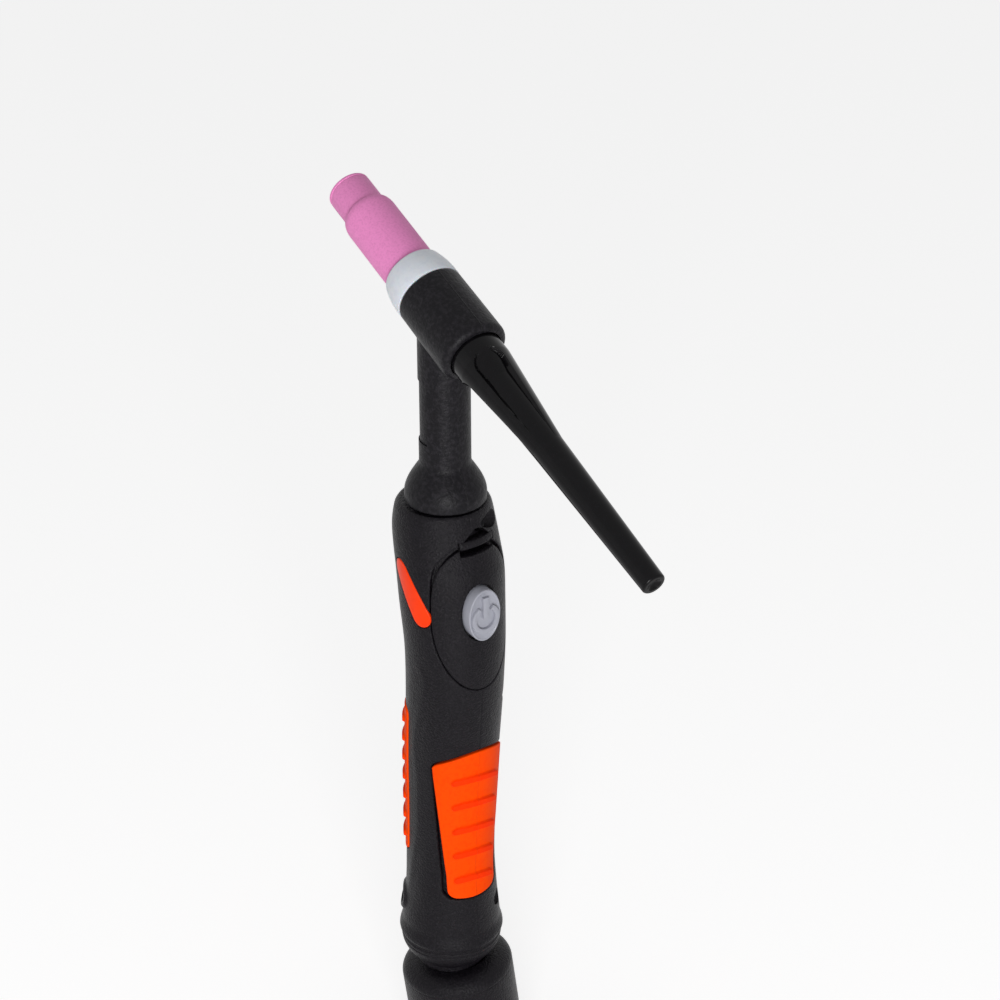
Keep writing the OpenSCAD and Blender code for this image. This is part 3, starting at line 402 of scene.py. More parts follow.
def end_tree(tree, out, geometry, material):
    """Ends a tree with real geometry and its material."""
    real = add(tree, "GeometryNodeRealizeInstances", [geometry])
    painted = add(tree, "GeometryNodeSetMaterial", {"Geometry": real, "Material": material})
    tree.links.new(painted.outputs[0], out.inputs[0])
    return tree


def run_tree(obj, tree, values):
    """Runs a tree on an object and keeps the result as a plain mesh."""
    modifier = obj.modifiers.new(tree.name, "NODES")
    modifier.node_group = tree
    for item in tree.interface.items_tree:
        if item.in_out == "INPUT" and item.name in values:
            modifier[item.identifier] = values[item.name]
    bake(obj)


def lathe_tree():
    """Turns a profile in the XZ plane round the Z axis: one grid column for each step of the turn."""
    tree, given, out = new_tree("turned_profile", {
        "Profile": "Geometry", "Segments": "Int", "Material": "Material"})
    size = add(tree, "GeometryNodeAttributeDomainSize", [given["Profile"]],
               component="MESH").outputs["Point Count"]
    columns = add(tree, "ShaderNodeMath", [given["Segments"], 1.0], operation="ADD")
    grid = add(tree, "GeometryNodeMeshGrid", {"Vertices X": columns, "Vertices Y": size})
    index = add(tree, "GeometryNodeInputIndex")
    row = add(tree, "ShaderNodeMath", [index, size], operation="MODULO")
    share = add(tree, "ShaderNodeMath", [index, size], operation="DIVIDE")
    column = add(tree, "ShaderNodeMath", [share], operation="FLOOR")
    step = add(tree, "ShaderNodeMath", [2 * math.pi, given["Segments"]], operation="DIVIDE")
    angle = add(tree, "ShaderNodeMath", [column, step], operation="MULTIPLY")
    position = add(tree, "GeometryNodeInputPosition")
    sample = add(tree, "GeometryNodeSampleIndex",
                 {"Geometry": given["Profile"], "Value": position, "Index": row}, data_type="FLOAT_VECTOR")
    turned = add(tree, "ShaderNodeVectorRotate", {"Vector": sample, "Angle": angle}, rotation_type="Z_AXIS")
    placed = add(tree, "GeometryNodeSetPosition", {"Geometry": grid, "Position": turned})
    merged = add(tree, "GeometryNodeMergeByDistance", {"Geometry": placed, "Distance": 0.001 * MM})
    return end_tree(tree, out, merged, given["Material"])


def rib_tree():
    """Raises pill-shaped ribs on a grip. Each point moves out by its distance from the nearest rib's line."""
    tree, known, out = new_tree("raised_ribs", {
        "Grip": "Geometry", "First": "Float", "Pitch": "Float", "Count": "Int", "Height": "Float",
        "Half Width": "Float", "Half Length": "Float", "Taper": "Float", "Material": "Material"})
    for label, kind in (("level", "FLOAT"), ("across", "FLOAT"), ("out", "FLOAT_VECTOR")):
        known[label] = add(tree, "GeometryNodeInputNamedAttribute", {"Name": label}, data_type=kind)
    for result, operation, left, right in (
            ("below", "SUBTRACT", "level", "First"), ("row", "DIVIDE", "below", "Pitch"),
            ("row", "ROUND", "row", 0.0), ("row", "MAXIMUM", "row", 0.0),
            ("last", "SUBTRACT", "Count", 1.0), ("row", "MINIMUM", "row", "last"),
            ("line", "MULTIPLY", "row", "Pitch"), ("off", "SUBTRACT", "below", "line"),
            ("shorter", "MULTIPLY", "row", "Taper"), ("reach", "SUBTRACT", "Half Length", "shorter"),
            ("straight", "SUBTRACT", "reach", "Half Width"), ("past", "SUBTRACT", "across", "straight"),
            ("past", "MAXIMUM", "past", 0.0), ("off", "MULTIPLY", "off", "off"),
            ("past", "MULTIPLY", "past", "past"), ("away", "ADD", "off", "past"),
            ("away", "SQRT", "away", 0.0), ("away", "DIVIDE", "away", "Half Width")):
        known[result] = add(tree, "ShaderNodeMath", [known.get(left, left), known.get(right, right)],
                            operation=operation)
    rib = add(tree, "ShaderNodeMapRange",
              {"Value": known["away"], "From Min": 0.6, "From Max": 1.0, "To Min": 1.0, "To Max": 0.0},
              interpolation_type="SMOOTHSTEP")
    # The rib share is also kept as an attribute, with which the grip's material paints shade on the ribs.
    marked = add(tree, "GeometryNodeStoreNamedAttribute",
                 {"Geometry": known["Grip"], "Name": "rib", "Value": rib}, data_type="FLOAT", domain="POINT")
    lift = add(tree, "ShaderNodeMath", [rib, known["Height"]], operation="MULTIPLY")
    offset = add(tree, "ShaderNodeVectorMath", {0: known["out"], "Scale": lift}, operation="SCALE")
    raised = add(tree, "GeometryNodeSetPosition", {"Geometry": marked, "Offset": offset})
    return end_tree(tree, out, raised, known["Material"])


def scatter_tree():
    """Puts one piece on every point, turned to the point's own direction."""
    tree, given, out = new_tree("placed_screws", {
        "Points": "Geometry", "Screw": "Object", "Material": "Material"})
    piece = add(tree, "GeometryNodeObjectInfo", {"Object": given["Screw"]}).outputs["Geometry"]
    way = add(tree, "GeometryNodeInputNamedAttribute", {"Name": "way"}, data_type="FLOAT_VECTOR")
    turn = add(tree, "FunctionNodeAlignRotationToVector", {"Vector": way}, axis="Z")
    placed = add(tree, "GeometryNodeInstanceOnPoints",
                 {"Points": given["Points"], "Instance": piece, "Rotation": turn})
    return end_tree(tree, out, placed, given["Material"])


def lathe(name, profile, finish, segments=128, place=RIM_PLACE):
    """A turned piece from a closed profile of (radius, height) points, moved to its place."""
    tree = bpy.data.node_groups.get("turned_profile") or lathe_tree()
    obj = new_object(name, [(r, 0, h) for r, h in profile], [], Matrix.Identity(4))
    run_tree(obj, tree, {"Segments": segments, "Material": MATERIALS[finish]})
    obj.data.transform(place)
    smooth_out(obj)
    return obj


def cutter(name, profile, segments=96, place=RIM_PLACE):
    """A turned solid that only cuts."""
    return lathe(name, profile, "steel", segments, place)


# ---- the handle's skin
# Stations: drop, radius, forward offset of the section's middle
STATIONS = np.array([
    (0.6, 14.4, -1.0), (1.2, 15.1, -1.2), (3, 15.9, -1.5), (9, 16.9, -1.2), (15, 17.35, 0), (24, 17.7, 2.1),
    (36, 17.45, 3.2), (50, 16.8, 4.4), (60, 16.5, 4.4), (76, 16.2, 3.5), (95, 15.8, 2), (118, 15.3, 0.9),
    (138, 15.2, 0.1), (152, 15.8, 0.3), (162, 16.85, 0), (164, 17, 0)])
SKIN_TOP, SKIN_END = STATIONS[0, 0], STATIONS[-1, 0]
BEAD_DROP, BEAD_END, BEAD_R = 169.0, 170.2, 18.05
MOUTH_OUTER, HANDLE_LEN = 12.0, 182.5
TAPER_STEEP, TAPER_RISE, TAPER_IN = 1.42, 0.4, 0.6      # how the mouth draws in under the bead


def station(drop, column):
    """A station's value at any drop, on a smooth curve."""
    rows = STATIONS
    last = len(rows) - 1
    i = np.clip(np.searchsorted(rows[:, 0], drop, side="right") - 1, 0, last - 1)
    before, after = np.maximum(i - 1, 0), np.minimum(i + 2, last)
    slope_in = (rows[i + 1, column] - rows[before, column]) / (rows[i + 1, 0] - rows[before, 0])
    slope_out = (rows[after, column] - rows[i, column]) / (rows[after, 0] - rows[i, 0])
    step = rows[i + 1, 0] - rows[i, 0]
    t = (drop - rows[i, 0]) / step
    u = 1 - t
    return (u * u * (1 + 2 * t) * rows[i, column] + t * t * (3 - 2 * t) * rows[i + 1, column]
            + step * t * u * (u * slope_in - t * slope_out))


def skin_radius(drop):
    """Radius of the handle at a drop."""
    drop = np.asarray(drop, float)
    last_r = STATIONS[-1, 1]
    swell = last_r + (BEAD_R - last_r) * blend01((drop - SKIN_END) / (BEAD_DROP - SKIN_END))
    turned_in = 0.5 * blend01((drop - BEAD_DROP) / (BEAD_END - BEAD_DROP))
    bead = np.where(drop < BEAD_DROP, swell, BEAD_R - turned_in)
    e = TAPER_STEEP * (drop - BALL_DROP + TAPER_RISE)
    taper = np.sqrt(np.maximum((BEAD_R - TAPER_IN) ** 2 - e * e, MOUTH_OUTER ** 2))
    low = np.where(drop <= BEAD_END, bead, np.minimum(bead, taper))
    return np.where(drop <= SKIN_END, station(np.clip(drop, SKIN_TOP, SKIN_END), 1), low)


def skin_offset(drop):
    """Forward offset of the handle's middle at a drop."""
    drop = np.asarray(drop, float)
    return np.where(drop <= SKIN_END, station(np.clip(drop, SKIN_TOP, SKIN_END), 2), 0.0)


def on_skin(drop, angle, up=0.0):
    """Points on the skin. Angles in degrees from +X towards -Y."""
    r = skin_radius(drop) + up
    a = np.radians(angle)
    return np.stack(np.broadcast_arrays(
        skin_offset(drop) + r * np.cos(a), -r * np.sin(a), -np.asarray(drop, float)), -1)


# Handle screws: forward place, drop, side of the head, floor of the well
SCREWS = [(11.6, 5.6, 1, 3.4), (12.5, 72.3, 1, 7.0), (11, 156.5, 1, 7.5), (-9.1, 156.9, -1, 9.0)]
RING_DROPS, RING_DEPTH, RING_WIDTH = (171.2, 172.9), 0.28, 0.3
SEAM_WIDTH = 0.24
BOSS_R, BOSS_HEIGHT, BOSS_EDGE = 5.6, 0.9, 1.6
CREASE_HEIGHT, CREASE_WIDTH = 0.2, 2.6
CREASE_DROPS = (50, 53, 59, 65, 82, 88, 101, 123, 151, 156)
CREASE_ANGLES = (88, 82, 71, 72, 86, 87, 80, 81, 102, 108)


def relief(drop, angle, side, seam_depth):
    """Small forms on a shell's skin, as a height: ring grooves, the split line, a style line, a boss."""
    r = skin_radius(drop)
    height = np.zeros(np.broadcast(drop, angle).shape)
    for ring in RING_DROPS:
        height -= RING_DEPTH * np.exp(-((drop - ring) / RING_WIDTH) ** 2)
    to_split = np.radians(np.minimum(angle, 180 - angle)) * r
    height -= seam_depth * np.exp(-(to_split / SEAM_WIDTH) ** 2)
    off = np.radians(angle - np.interp(drop, CREASE_DROPS, CREASE_ANGLES)) * r
    fade = blend01((drop - 52) / 5) * blend01((156 - drop) / 6)
    height += CREASE_HEIGHT * fade * np.clip(1 - np.abs(off) / CREASE_WIDTH, 0, 1)
    x = skin_offset(drop) + r * np.cos(np.radians(angle))
    for forward, at, screw_side, _ in SCREWS[3:]:
        if screw_side == side:
            reach = np.hypot(x - forward, drop - at)
            height += BOSS_HEIGHT * blend01((BOSS_R - reach) / BOSS_EDGE)
    return height


def half_solid(side, seam_depth):
    """One half of the handle as a closed solid, flat at the split."""
    drops = np.concatenate([np.arange(SKIN_TOP, 8, 0.3), np.arange(8, 160, 0.7), np.arange(160, 182.4, 0.28),
                            [HANDLE_LEN]])
    near_split = np.array([0, 0.45, 0.9, 1.5, 2.2])
    angles = np.concatenate([near_split, np.arange(3.5, 176.6, 1.5), 180 - near_split[::-1]])
    d, a = np.meshgrid(drops, angles, indexing="ij")
    points = on_skin(d, a, relief(d, a, side, seam_depth))
    points[..., 1] = -side * points[..., 1] + side * 0.02
    rows, columns = d.shape
    faces = grid_faces(rows, columns)
    last = columns - 1
    firsts = range(0, rows * columns, columns)
    faces += [(one, two, two + last, one + last) for one, two in zip(firsts, firsts[1:])]
    faces.append(tuple(range(columns)))
    faces.append(tuple((rows - 1) * columns + j for j in reversed(range(columns))))
    return new_object("half_%d" % (side + 1), points.reshape(-1, 3), faces)


RIB_MIDDLE = 2.4        # where a bowed rib is highest, round the skin from the middle of its grip


def patch(name, place, u, v, levels, top, floor, bow=0.0):
    """A curved slab on the skin, with a rounded rim.

    place(u, v, grow) gives drop and angle. levels are (grow, height) pairs from the top's edge down to
    the full outline, and the top's height is added to theirs. The bottom is flat at floor. bow bends the
    lines that the ribs follow, in mm per square mm."""
    uu, vv = np.meshgrid(u, v)
    rows, columns = uu.shape
    grow, lift = levels[0]
    blocks = [on_skin(*place(uu, vv, grow), top + lift).reshape(-1, 3)]
    out = on_skin(*place(uu, vv, grow), top + lift + 1).reshape(-1, 3) - blocks[0]
    faces = grid_faces(rows, columns)
    loop = ([(0, j) for j in range(columns)] + [(i, columns - 1) for i in range(1, rows)]
            + [(rows - 1, j) for j in range(columns - 2, -1, -1)] + [(i, 0) for i in range(rows - 2, 0, -1)])
    i_loop, j_loop = np.array(loop).T
    u_rim, v_rim = uu[i_loop, j_loop], vv[i_loop, j_loop]
    above = [i * columns + j for i, j in loop]
    n = len(loop)
    start = rows * columns
    for grow, lift in list(levels[1:]) + [(levels[-1][0], floor - top)]:
        blocks.append(on_skin(*place(u_rim, v_rim, grow), top + lift))
        below = [start + k for k in range(n)]
        faces += [(above[k], below[k], below[(k + 1) % n], above[(k + 1) % n]) for k in range(n)]
        above = below
        start += n
    blocks.append(on_skin(*place(uu, vv, levels[-1][0]), np.full(uu.shape, floor)).reshape(-1, 3))
    faces += [tuple(start + k for k in reversed(f)) for f in grid_faces(rows, columns)]
    obj = new_object(name, np.concatenate(blocks), faces)
    drop, angle = place(uu, vv, levels[0][0])
    across = np.radians(angle - angle.mean()) * skin_radius(drop)
    level = drop - bow * (across - RIB_MIDDLE) ** 2
    for key, kind, field, values in (("level", "FLOAT", "value", level),
                                     ("across", "FLOAT", "value", np.abs(across)),
                                     ("out", "FLOAT_VECTOR", "vector", out)):
        full = np.zeros(len(obj.data.vertices) * (3 if field == "vector" else 1))
        full[:values.size] = values.ravel()
        obj.data.attributes.new(key, kind, "POINT").data.foreach_set(field, full)
    return obj


def pocket(name, place, u, v, floor, grow, bevel):
    """A cutter for a patch's pocket, with a rounded edge at the skin."""
    edge = [(grow + bevel * wide, -bevel * deep)
            for wide, deep in ((1, -0.05), (0.55, 0.12), (0.2, 0.5), (0, 1))]
    obj = patch(name, place, u, v, [(grow + bevel + 0.5, 1.0)] + edge, 0.0, floor)
    smooth_out(obj)
    return obj


# ---- places on the skin
COVER_TOP, COVER_MIDDLE, COVER_BOTTOM, COVER_HALF = 11.4, 33.0, 62.1, 14.5
COVER_RISE, COVER_FALL = 22.3, 29.2     # from its widest place to where its outline would close


def egg(drop):
    """Half width of the switch cover."""
    above = np.clip((COVER_MIDDLE - drop) / COVER_RISE, 0, 1) ** 3
    below = np.clip((drop - COVER_MIDDLE) / COVER_FALL, 0, 1) ** 2.5
    return COVER_HALF * np.sqrt(np.where(drop < COVER_MIDDLE, 1 - above, 1 - below))


def cover_place(u, v, grow):
    """Place on the switch cover, grown by a margin."""
    t = (1 - np.cos(np.pi * v)) / 2
    half = egg(COVER_TOP + (COVER_BOTTOM - COVER_TOP) * t) + grow
    drop = (COVER_TOP - grow) + (COVER_BOTTOM - COVER_TOP + 2 * grow) * t
    return drop, np.degrees(np.arcsin((2 * u - 1) * half / skin_radius(drop)))


def cover_gap_place(u, v, grow):
    """The cover's pocket: its gap is wide at the shoulders and narrow further down."""
    return cover_place(u, v, grow + np.interp(v, (0, 0.22, 0.36, 1), (0.75, 0.75, 0.1, 0.0)))


FRONT_TOP, FRONT_BOTTOM, FRONT_CORNER = 88.0, 148.6, 2.6
FRONT_SHARES, FRONT_HALVES = (0, 0.1, 0.84, 1), (13.6, 13.2, 9.5, 9.35)
FRONT_SAG_TOP, FRONT_SAG_CHANGE = 4.9, -5.9     # how far its side edges hang below its middle
STEEPEST = 0.985        # sine of the furthest angle round the skin
REAR_TOP, REAR_BOTTOM, REAR_EDGE, REAR_CORNER = 75.7, 135.4, 103.0, 3.0
DEGREES_A_MM = 3.6      # round the rear grip's skin


def front_place(u, v, grow, side=0.0, end=0.0):
    """Place on the front grip, grown by a margin. Its pocket is wider by side and longer by end."""
    corner = np.where(v < 0.5, 1.4, FRONT_CORNER) + end
    k = np.clip(1 - np.minimum(v, 1 - v) * (FRONT_BOTTOM - FRONT_TOP) / corner, 0, 1)
    wide = np.interp(v, FRONT_SHARES, FRONT_HALVES) + side * (0.25 + v)
    x = (2 * u - 1) * (wide - corner * (1 - np.sqrt(1 - k * k)) + grow)
    top, bottom = FRONT_TOP - end - grow, FRONT_BOTTOM + end + grow
    drop = top + (bottom - top) * v + (FRONT_SAG_TOP + FRONT_SAG_CHANGE * v) * (x / wide) ** 2
    return drop, np.degrees(np.arcsin(np.clip(x / skin_radius(drop), -STEEPEST, STEEPEST)))


def front_pocket_place(u, v, grow):
    """The front grip's pocket, whose gap widens on the way down."""
    return front_place(u, v, grow, 1.2, 0.6)


def rear_place(u, v, grow):
    """Place on the rear grip, grown by a margin, with rounded corners."""
    k = np.clip(1 - np.minimum(v, 1 - v) * (REAR_BOTTOM - REAR_TOP) / REAR_CORNER, 0, 1)
    half = 180 - REAR_EDGE + (grow - REAR_CORNER * (1 - np.sqrt(1 - k * k))) * DEGREES_A_MM
    drop = (REAR_TOP - grow) + (REAR_BOTTOM - REAR_TOP + 2 * grow) * v + 0 * u
    return drop, 180 + (2 * u - 1) * half


LABEL_TOP, LABEL_LENGTH, LABEL_HALF, LABEL_SIDE = -0.2, 23.1, 3.65, 36.05
LABEL_DOWN, LABEL_OUT = 0.855, 0.518    # the strip's direction: down the skin, and round it
LABEL_ROUND = 0.985     # 1 would bring its ends to a point


def label_place(u, v, grow):
    """Place on the label, a strip with round ends that slants down across the skin."""
    half, length = LABEL_HALF + grow, LABEL_LENGTH + 2 * grow
    k = np.clip(1 - np.minimum(v, 1 - v) * length / half, 0, 1)
    off = LABEL_SIDE + (2 * u - 1) * half * np.sqrt(1 - LABEL_ROUND * k * k)
    along = LABEL_TOP - grow + length * v
    drop = LABEL_DOWN * along + LABEL_OUT * off
    return drop, np.degrees((LABEL_DOWN * off - LABEL_OUT * along) / skin_radius(drop))


def strip_place(top, bottom, rights, lefts):
    """A region on the front between two drops. rights and lefts are its edges at the top and the bottom."""
    def place(u, v, grow):
        drop = (top - grow) + (bottom - top + 2 * grow) * v + 0 * u
        low = rights[0] + (rights[1] - rights[0]) * v - grow
        high = lefts[0] + (lefts[1] - lefts[0]) * v + grow
        return drop, np.degrees(np.arcsin((low + (high - low) * u) / skin_radius(drop)))
    return place


def ends(count, corner):
    """Shares from 0 to 1, close together at both ends."""
    inner = np.linspace(corner, 1 - corner, count)
    close = corner * np.linspace(0, 1, 7)[:-1] ** 2
    return np.concatenate([close, inner, 1 - close[::-1]])


# ---- head and nozzle
def build_nozzle_end():
    """Ceramic nozzle and its gasket; the metal inside keeps its CAD shape."""
    sizes = bpy.context.scene.torch_sizes
    r, tip = sizes.nozzle_diameter / MM / 2, sizes.nozzle_tip / MM / 2
    back, front = 12.8, 59.8
    shoulder = front - sizes.nozzle_tip_length / MM
    profile = [(6.1, back), (r - 0.4, back)] + round_edge(r - 0.4, back + 0.4, 0.4, -90, 0, 4)
    profile += [(r, back + 10), (r, shoulder - 4.4)]
    profile += [(tip + 0.25 + (r - tip - 0.25) * math.cos(a), shoulder - 3.9 * (1 - math.sin(a)))
                for a in np.linspace(0, math.pi / 2, 15)]
    profile += [(tip + 0.08, shoulder + 0.15), (tip, shoulder + 0.5), (tip, front - 1.6)]
    profile += [(tip - 0.04, front - 1.45), (tip - 0.2, front - 1.3), (tip - 0.2, front - 1.05),
                (tip - 0.04, front - 0.9)]
    profile += round_edge(tip - 0.45, front - 0.4, 0.4, 0, 90, 4)
    profile += round_edge(5.9, front - 0.4, 0.4, 90, 180, 4)
    profile += [(5.5, front - 11), (6.6, front - 15), (6.6, 23.1), (6.1, 23.0), (6.1, back)]
    nozzle = lathe("nozzle_ceramic", profile, "alumina", 160, HEAD_PLACE)
    dress(nozzle, "alumina", "nozzle", "nozzle")

    start, end = 8.0, 18.8
    outer = [(11.35 - 1.45 * t + 0.5 * math.sin(math.pi * t), start + (end - start) * t)
             for t in np.linspace(0, 1, 25)]
    outer[0] = (outer[0][0] - 0.1, start)
    rim = round_edge(9.55, end - 0.35, 0.35, 20, 160)
    profile = [(6.35, start)] + outer[:-1] + rim
    profile += [(9.0, end - 0.5), (8.93, end - 0.8), (8.93, 12.75), (6.35, 12.75), (6.35, start)]
    gasket = lathe("gasket_ring", profile, "ptfe", 160, HEAD_PLACE)
    dress(gasket, "ptfe", "gasket", "cup_gasket")
    paint({"collet_body": "copper", "collet": "copper", "electrode": "tungsten", "cap_o_ring": "seal_rubber"})


NECK_R = 8.42
HEAD_RISE = HEAD_Z - RIM_Z
PAD_TURN = -108


def build_head():
    """Rubber head, neck and flared collar in one moulding."""
    back = round_edge(11.5 - 2.2, 2.2 - 19.8, 2.2, -90, 0, 12)
    head = lathe("head_rubber", [(0, -19.8)] + back + [(11.42, -6), (11.3, 6)]
                 + round_edge(10.6, 7.25, 0.7, 0, 90, 5) + [(0, 7.95)], "head_rubber", 192, HEAD_PLACE)
    flare = [(12.7, 0.0)] + round_edge(12.8, 0.6, 0.6, -80, 0, 4) + [(13.4, 2.2)]
    flare += [(13.37, 3.0), (13.25, 3.9), (13.0, 4.9), (12.6, 6.0), (12.05, 7.2), (11.4, 8.4), (10.6, 9.7),
              (9.7, 11.1), (8.95, 12.2), (8.6, 12.8), (8.45, 13.5)]
    plug = [(0, -14), (9.6, -14), (10, -13.6), (10, -11), (11, -10.8), (11, -8.2), (10, -8), (10, 0)]
    neck = lathe("neck_rubber", plug + flare + [(NECK_R, 14.6), (NECK_R, HEAD_RISE), (0, HEAD_RISE)],
                 "head_rubber", 160)
    combine(head, [neck], "UNION")
    pad_outer = cutter("pad_ring", [(8.02, 21.25), (12, 21.25), (12, 42.75), (8.02, 42.75), (8.02, 21.25)])
    wedge = prism("pad_wedge", [(0, -4.6), (14, -4.6), (14, 4.6), (0, 4.6)], 20, 44,
                  RIM_PLACE @ turned(PAD_TURN, "Z"))
    combine(pad_outer, [wedge], "INTERSECT")
    combine(head, [
        cutter("core_room", [(0, -18.05), (7.55, -18.05), (7.55, 9), (0, 9)], 96, HEAD_PLACE),
        cutter("cap_room", [(0, -21), (9.3, -21), (9.05, -19.6), (8.95, -19.3), (8.95, -18), (0, -18)], 128,
               HEAD_PLACE),
        cutter("boss_room", [(0, 48.05), (5.45, 48.05), (5.45, HEAD_RISE), (0, HEAD_RISE)]),
        cutter("tube_room", [(0, -15), (3.25, -15), (3.25, HEAD_RISE), (0, HEAD_RISE)]),
        pad_outer], "DIFFERENCE")
    smooth_out(head, 28)
    dress(head, "head_rubber", "torch", "head_cover")
    paint({"head_core": "brass", "neck_tube": "copper", "power_union": "brass"})


# ---- back cap
FIN_START, FIN_END, CAP_EDGE, CAP_REACH = 26.0, 62.0, 119.2, 120.0
CAP_R, STEM_R, TAIL_R = 8.75, 5.15, 3.9
GROOVE_TOP, GROOVE_OUT, GROOVE_TURN = 24.5, 9.5, -18.6
FIN_SOFT, NO_GROOVE = 0.22, 50      # rounding of the fins' edges; a radius clear of the cap
CAP_COLUMNS = 300


def stem_radius(s):
    """Radius of the cap without its fins, at a distance behind the head's centre."""
    return np.interp(s, [GROOVE_TOP, GROOVE_TOP + 1.2, 34, FIN_END, CAP_EDGE],
                     [CAP_R, 7.65, 6.0, STEM_R, TAIL_R])


def cap_radius(s, turn, groove_r, fins):
    """Radius of the cap at a distance and an angle, with its grooves and softened edges."""
    outer = np.interp(s, [FIN_START, FIN_END, CAP_EDGE], [CAP_R, STEM_R, TAIL_R])
    step = 2 * np.pi / fins
    local = (turn - math.radians(GROOVE_TURN) + step / 2) % step - step / 2
    along = np.clip(GROOVE_TOP + groove_r - s, 0, None)
    reach = np.sqrt(np.maximum(groove_r ** 2 - along ** 2, 0))
    across = GROOVE_OUT * np.sin(np.abs(local))
    depth = np.sqrt(np.maximum(reach ** 2 - across ** 2, 0))
    cut = np.where(across < reach, GROOVE_OUT * np.cos(local) - depth, NO_GROOVE)
    blend = np.clip(0.5 + 0.5 * (cut - outer) / FIN_SOFT, 0, 1)
    r = cut + (outer - cut) * blend - FIN_SOFT * blend * (1 - blend)
    return np.maximum(np.minimum(r, outer), np.minimum(stem_radius(s), outer))


def build_back_cap():
    """Long phenolic cap with its grooves, shank and bore."""
    sizes = bpy.context.scene.torch_sizes
    groove_r = sizes.groove_radius / MM
    rows = [(112, 0), (112, 1.7), (4.6, 1.7), (4.6, 4.5), (5.0, 4.9), (15.7, 4.9), (15.7, 3.65), (17.1, 3.65),
            (17.1, 4.9), (18.1, 4.9), (18.1, 8.45), (18.15, 8.62), (18.3, 8.72), (18.5, CAP_R)]
    body = np.concatenate([np.arange(19, 24.4, 0.6), np.arange(24.5, 32, 0.14), np.arange(32, 63, 0.3),
                           np.arange(63, 119, 1.5), [CAP_EDGE]])
    tail = [(h, r) for r, h in round_edge(3.1, 0.8, 0.8, 0, -90, 8)]
    tail += [(0, 2.4), (0.25, 2.1), (0.9, 1.3), (1.1, 0.6), (1.15, 0)]
    turn = np.linspace(0, 2 * np.pi, CAP_COLUMNS, endpoint=False)
    rings = [(s, np.full(CAP_COLUMNS, r)) for s, r in rows]
    rings += [(s, cap_radius(s, turn, groove_r, sizes.fins)) for s in body]
    rings += [(CAP_REACH - h, np.full(CAP_COLUMNS, r)) for h, r in tail]
    points = [np.stack([r * np.cos(turn), r * np.sin(turn), np.full(CAP_COLUMNS, -s)], -1) for s, r in rings]
    faces = grid_faces(len(rings), CAP_COLUMNS, True)
    cap = new_object("back_cap_phenolic", np.concatenate(points), faces, HEAD_PLACE)
    smooth_out(cap, 34)
    dress(cap, "phenolic", "cap", "back_cap")


# ---- handle
WALL, CAVITY_END, SEAT_R, WELL_R = 3.2, 148, 13.65, 2.8


def handle_rooms():
    """Solids for the space inside the handle: collar socket, cavity, passage and ball socket."""
    socket = cutter("collar_socket", [(0, 2), (10.05, 2), (10.05, -7.95), (11.05, -7.95), (11.05, -11.05),
                                      (10.05, -11.05), (10.05, -15.0), (5, -15.0), (5, -16), (0, -16)])
    drops = np.concatenate([np.arange(15, CAVITY_END, 3.5), [CAVITY_END]])
    cavity = stack("cavity", on_skin(*np.meshgrid(drops, np.arange(0, 360, 6), indexing="ij"), -WALL))
    ball = [(SEAT_R * math.cos(a), -BALL_DROP - SEAT_R * math.sin(a)) for a in np.linspace(0, 0.68, 14)]
    passage = cutter("passage", [(0, -146), (6.8, -146), (6.8, -163.9), (15.05, -163.9), (15.05, -172)] + ball
                     + [(10.75, -181.2), (11.1, -182.1), (11.6, -183.5), (0, -183.5)], 128)
    return [socket, cavity, passage]


def well(forward, drop, side, floor):
    """A screw well's cutter: a round hole from the side, with its clearance hole."""
    place = Matrix.Translation((forward * MM, 0, (RIM_Z - drop) * MM)) @ turned(-90 * side, "X")
    end = floor - 7.6
    outline = [(0, end), (1.7, end), (1.7, floor), (WELL_R, floor), (WELL_R, 30), (0, 30)]
    return cutter("screw_well", outline, 64, place)


def build_handle():
    """Both shells of the handle, with every pocket cut in them."""
    seam_depth = bpy.context.scene.torch_sizes.seam_depth / MM
    fine, few = np.linspace(0, 1, 61), np.linspace(0, 1, 13)
    pockets = (("cover_pocket", cover_gap_place, fine, np.linspace(0, 1, 121), -1.9, 0.22, 0.4),
               ("front_pocket", front_pocket_place, fine, ends(90, 2.6 / 61), -2.2, -0.1, 0.5),
               ("rear_pocket", rear_place, fine, ends(90, 3 / 60), -1.6, 0.2, 0.2),
               ("recess", strip_place(5.6, 9.3, (-4.0, -7.6), (-1.1, 3.9)), few, few, -3.3, 0.0, 0.1),
               ("lip_ends", strip_place(9.0, 11.6, (-9.1, -9.1), (5.1, 5.1)), few, few, -1.3, 0.0, 0.1),
               ("slot_room", strip_place(11.2, 13.9, (-8.2, -8.2), (5.0, 5.0)), few, few, -4.5, 0.0, 0.1))
    for side, node in ((-1, "handle_shell_left"), (1, "handle_shell_right")):
        shell = half_solid(side, seam_depth)
        smooth_out(shell)
        cutters = handle_rooms() + [well(*screw) for screw in SCREWS]
        cutters += [pocket(*values) for values in pockets]
        cutters.append(prism("window", [(6.6, -8), (30, -8), (30, 8), (6.6, 8)], -50.8, -15.6))
        if side < 0:
            cutters.append(pocket("label_pocket", label_place, few, ends(40, 0.15), -0.85, 0.3, 0.1))
        combine(shell, cutters, "DIFFERENCE")
        combine(shell, [lip(side)], "UNION")
        shell.name = node + "_nylon"
        smooth_out(shell, 30)
        dress(shell, "handle_plastic", "torch", node)


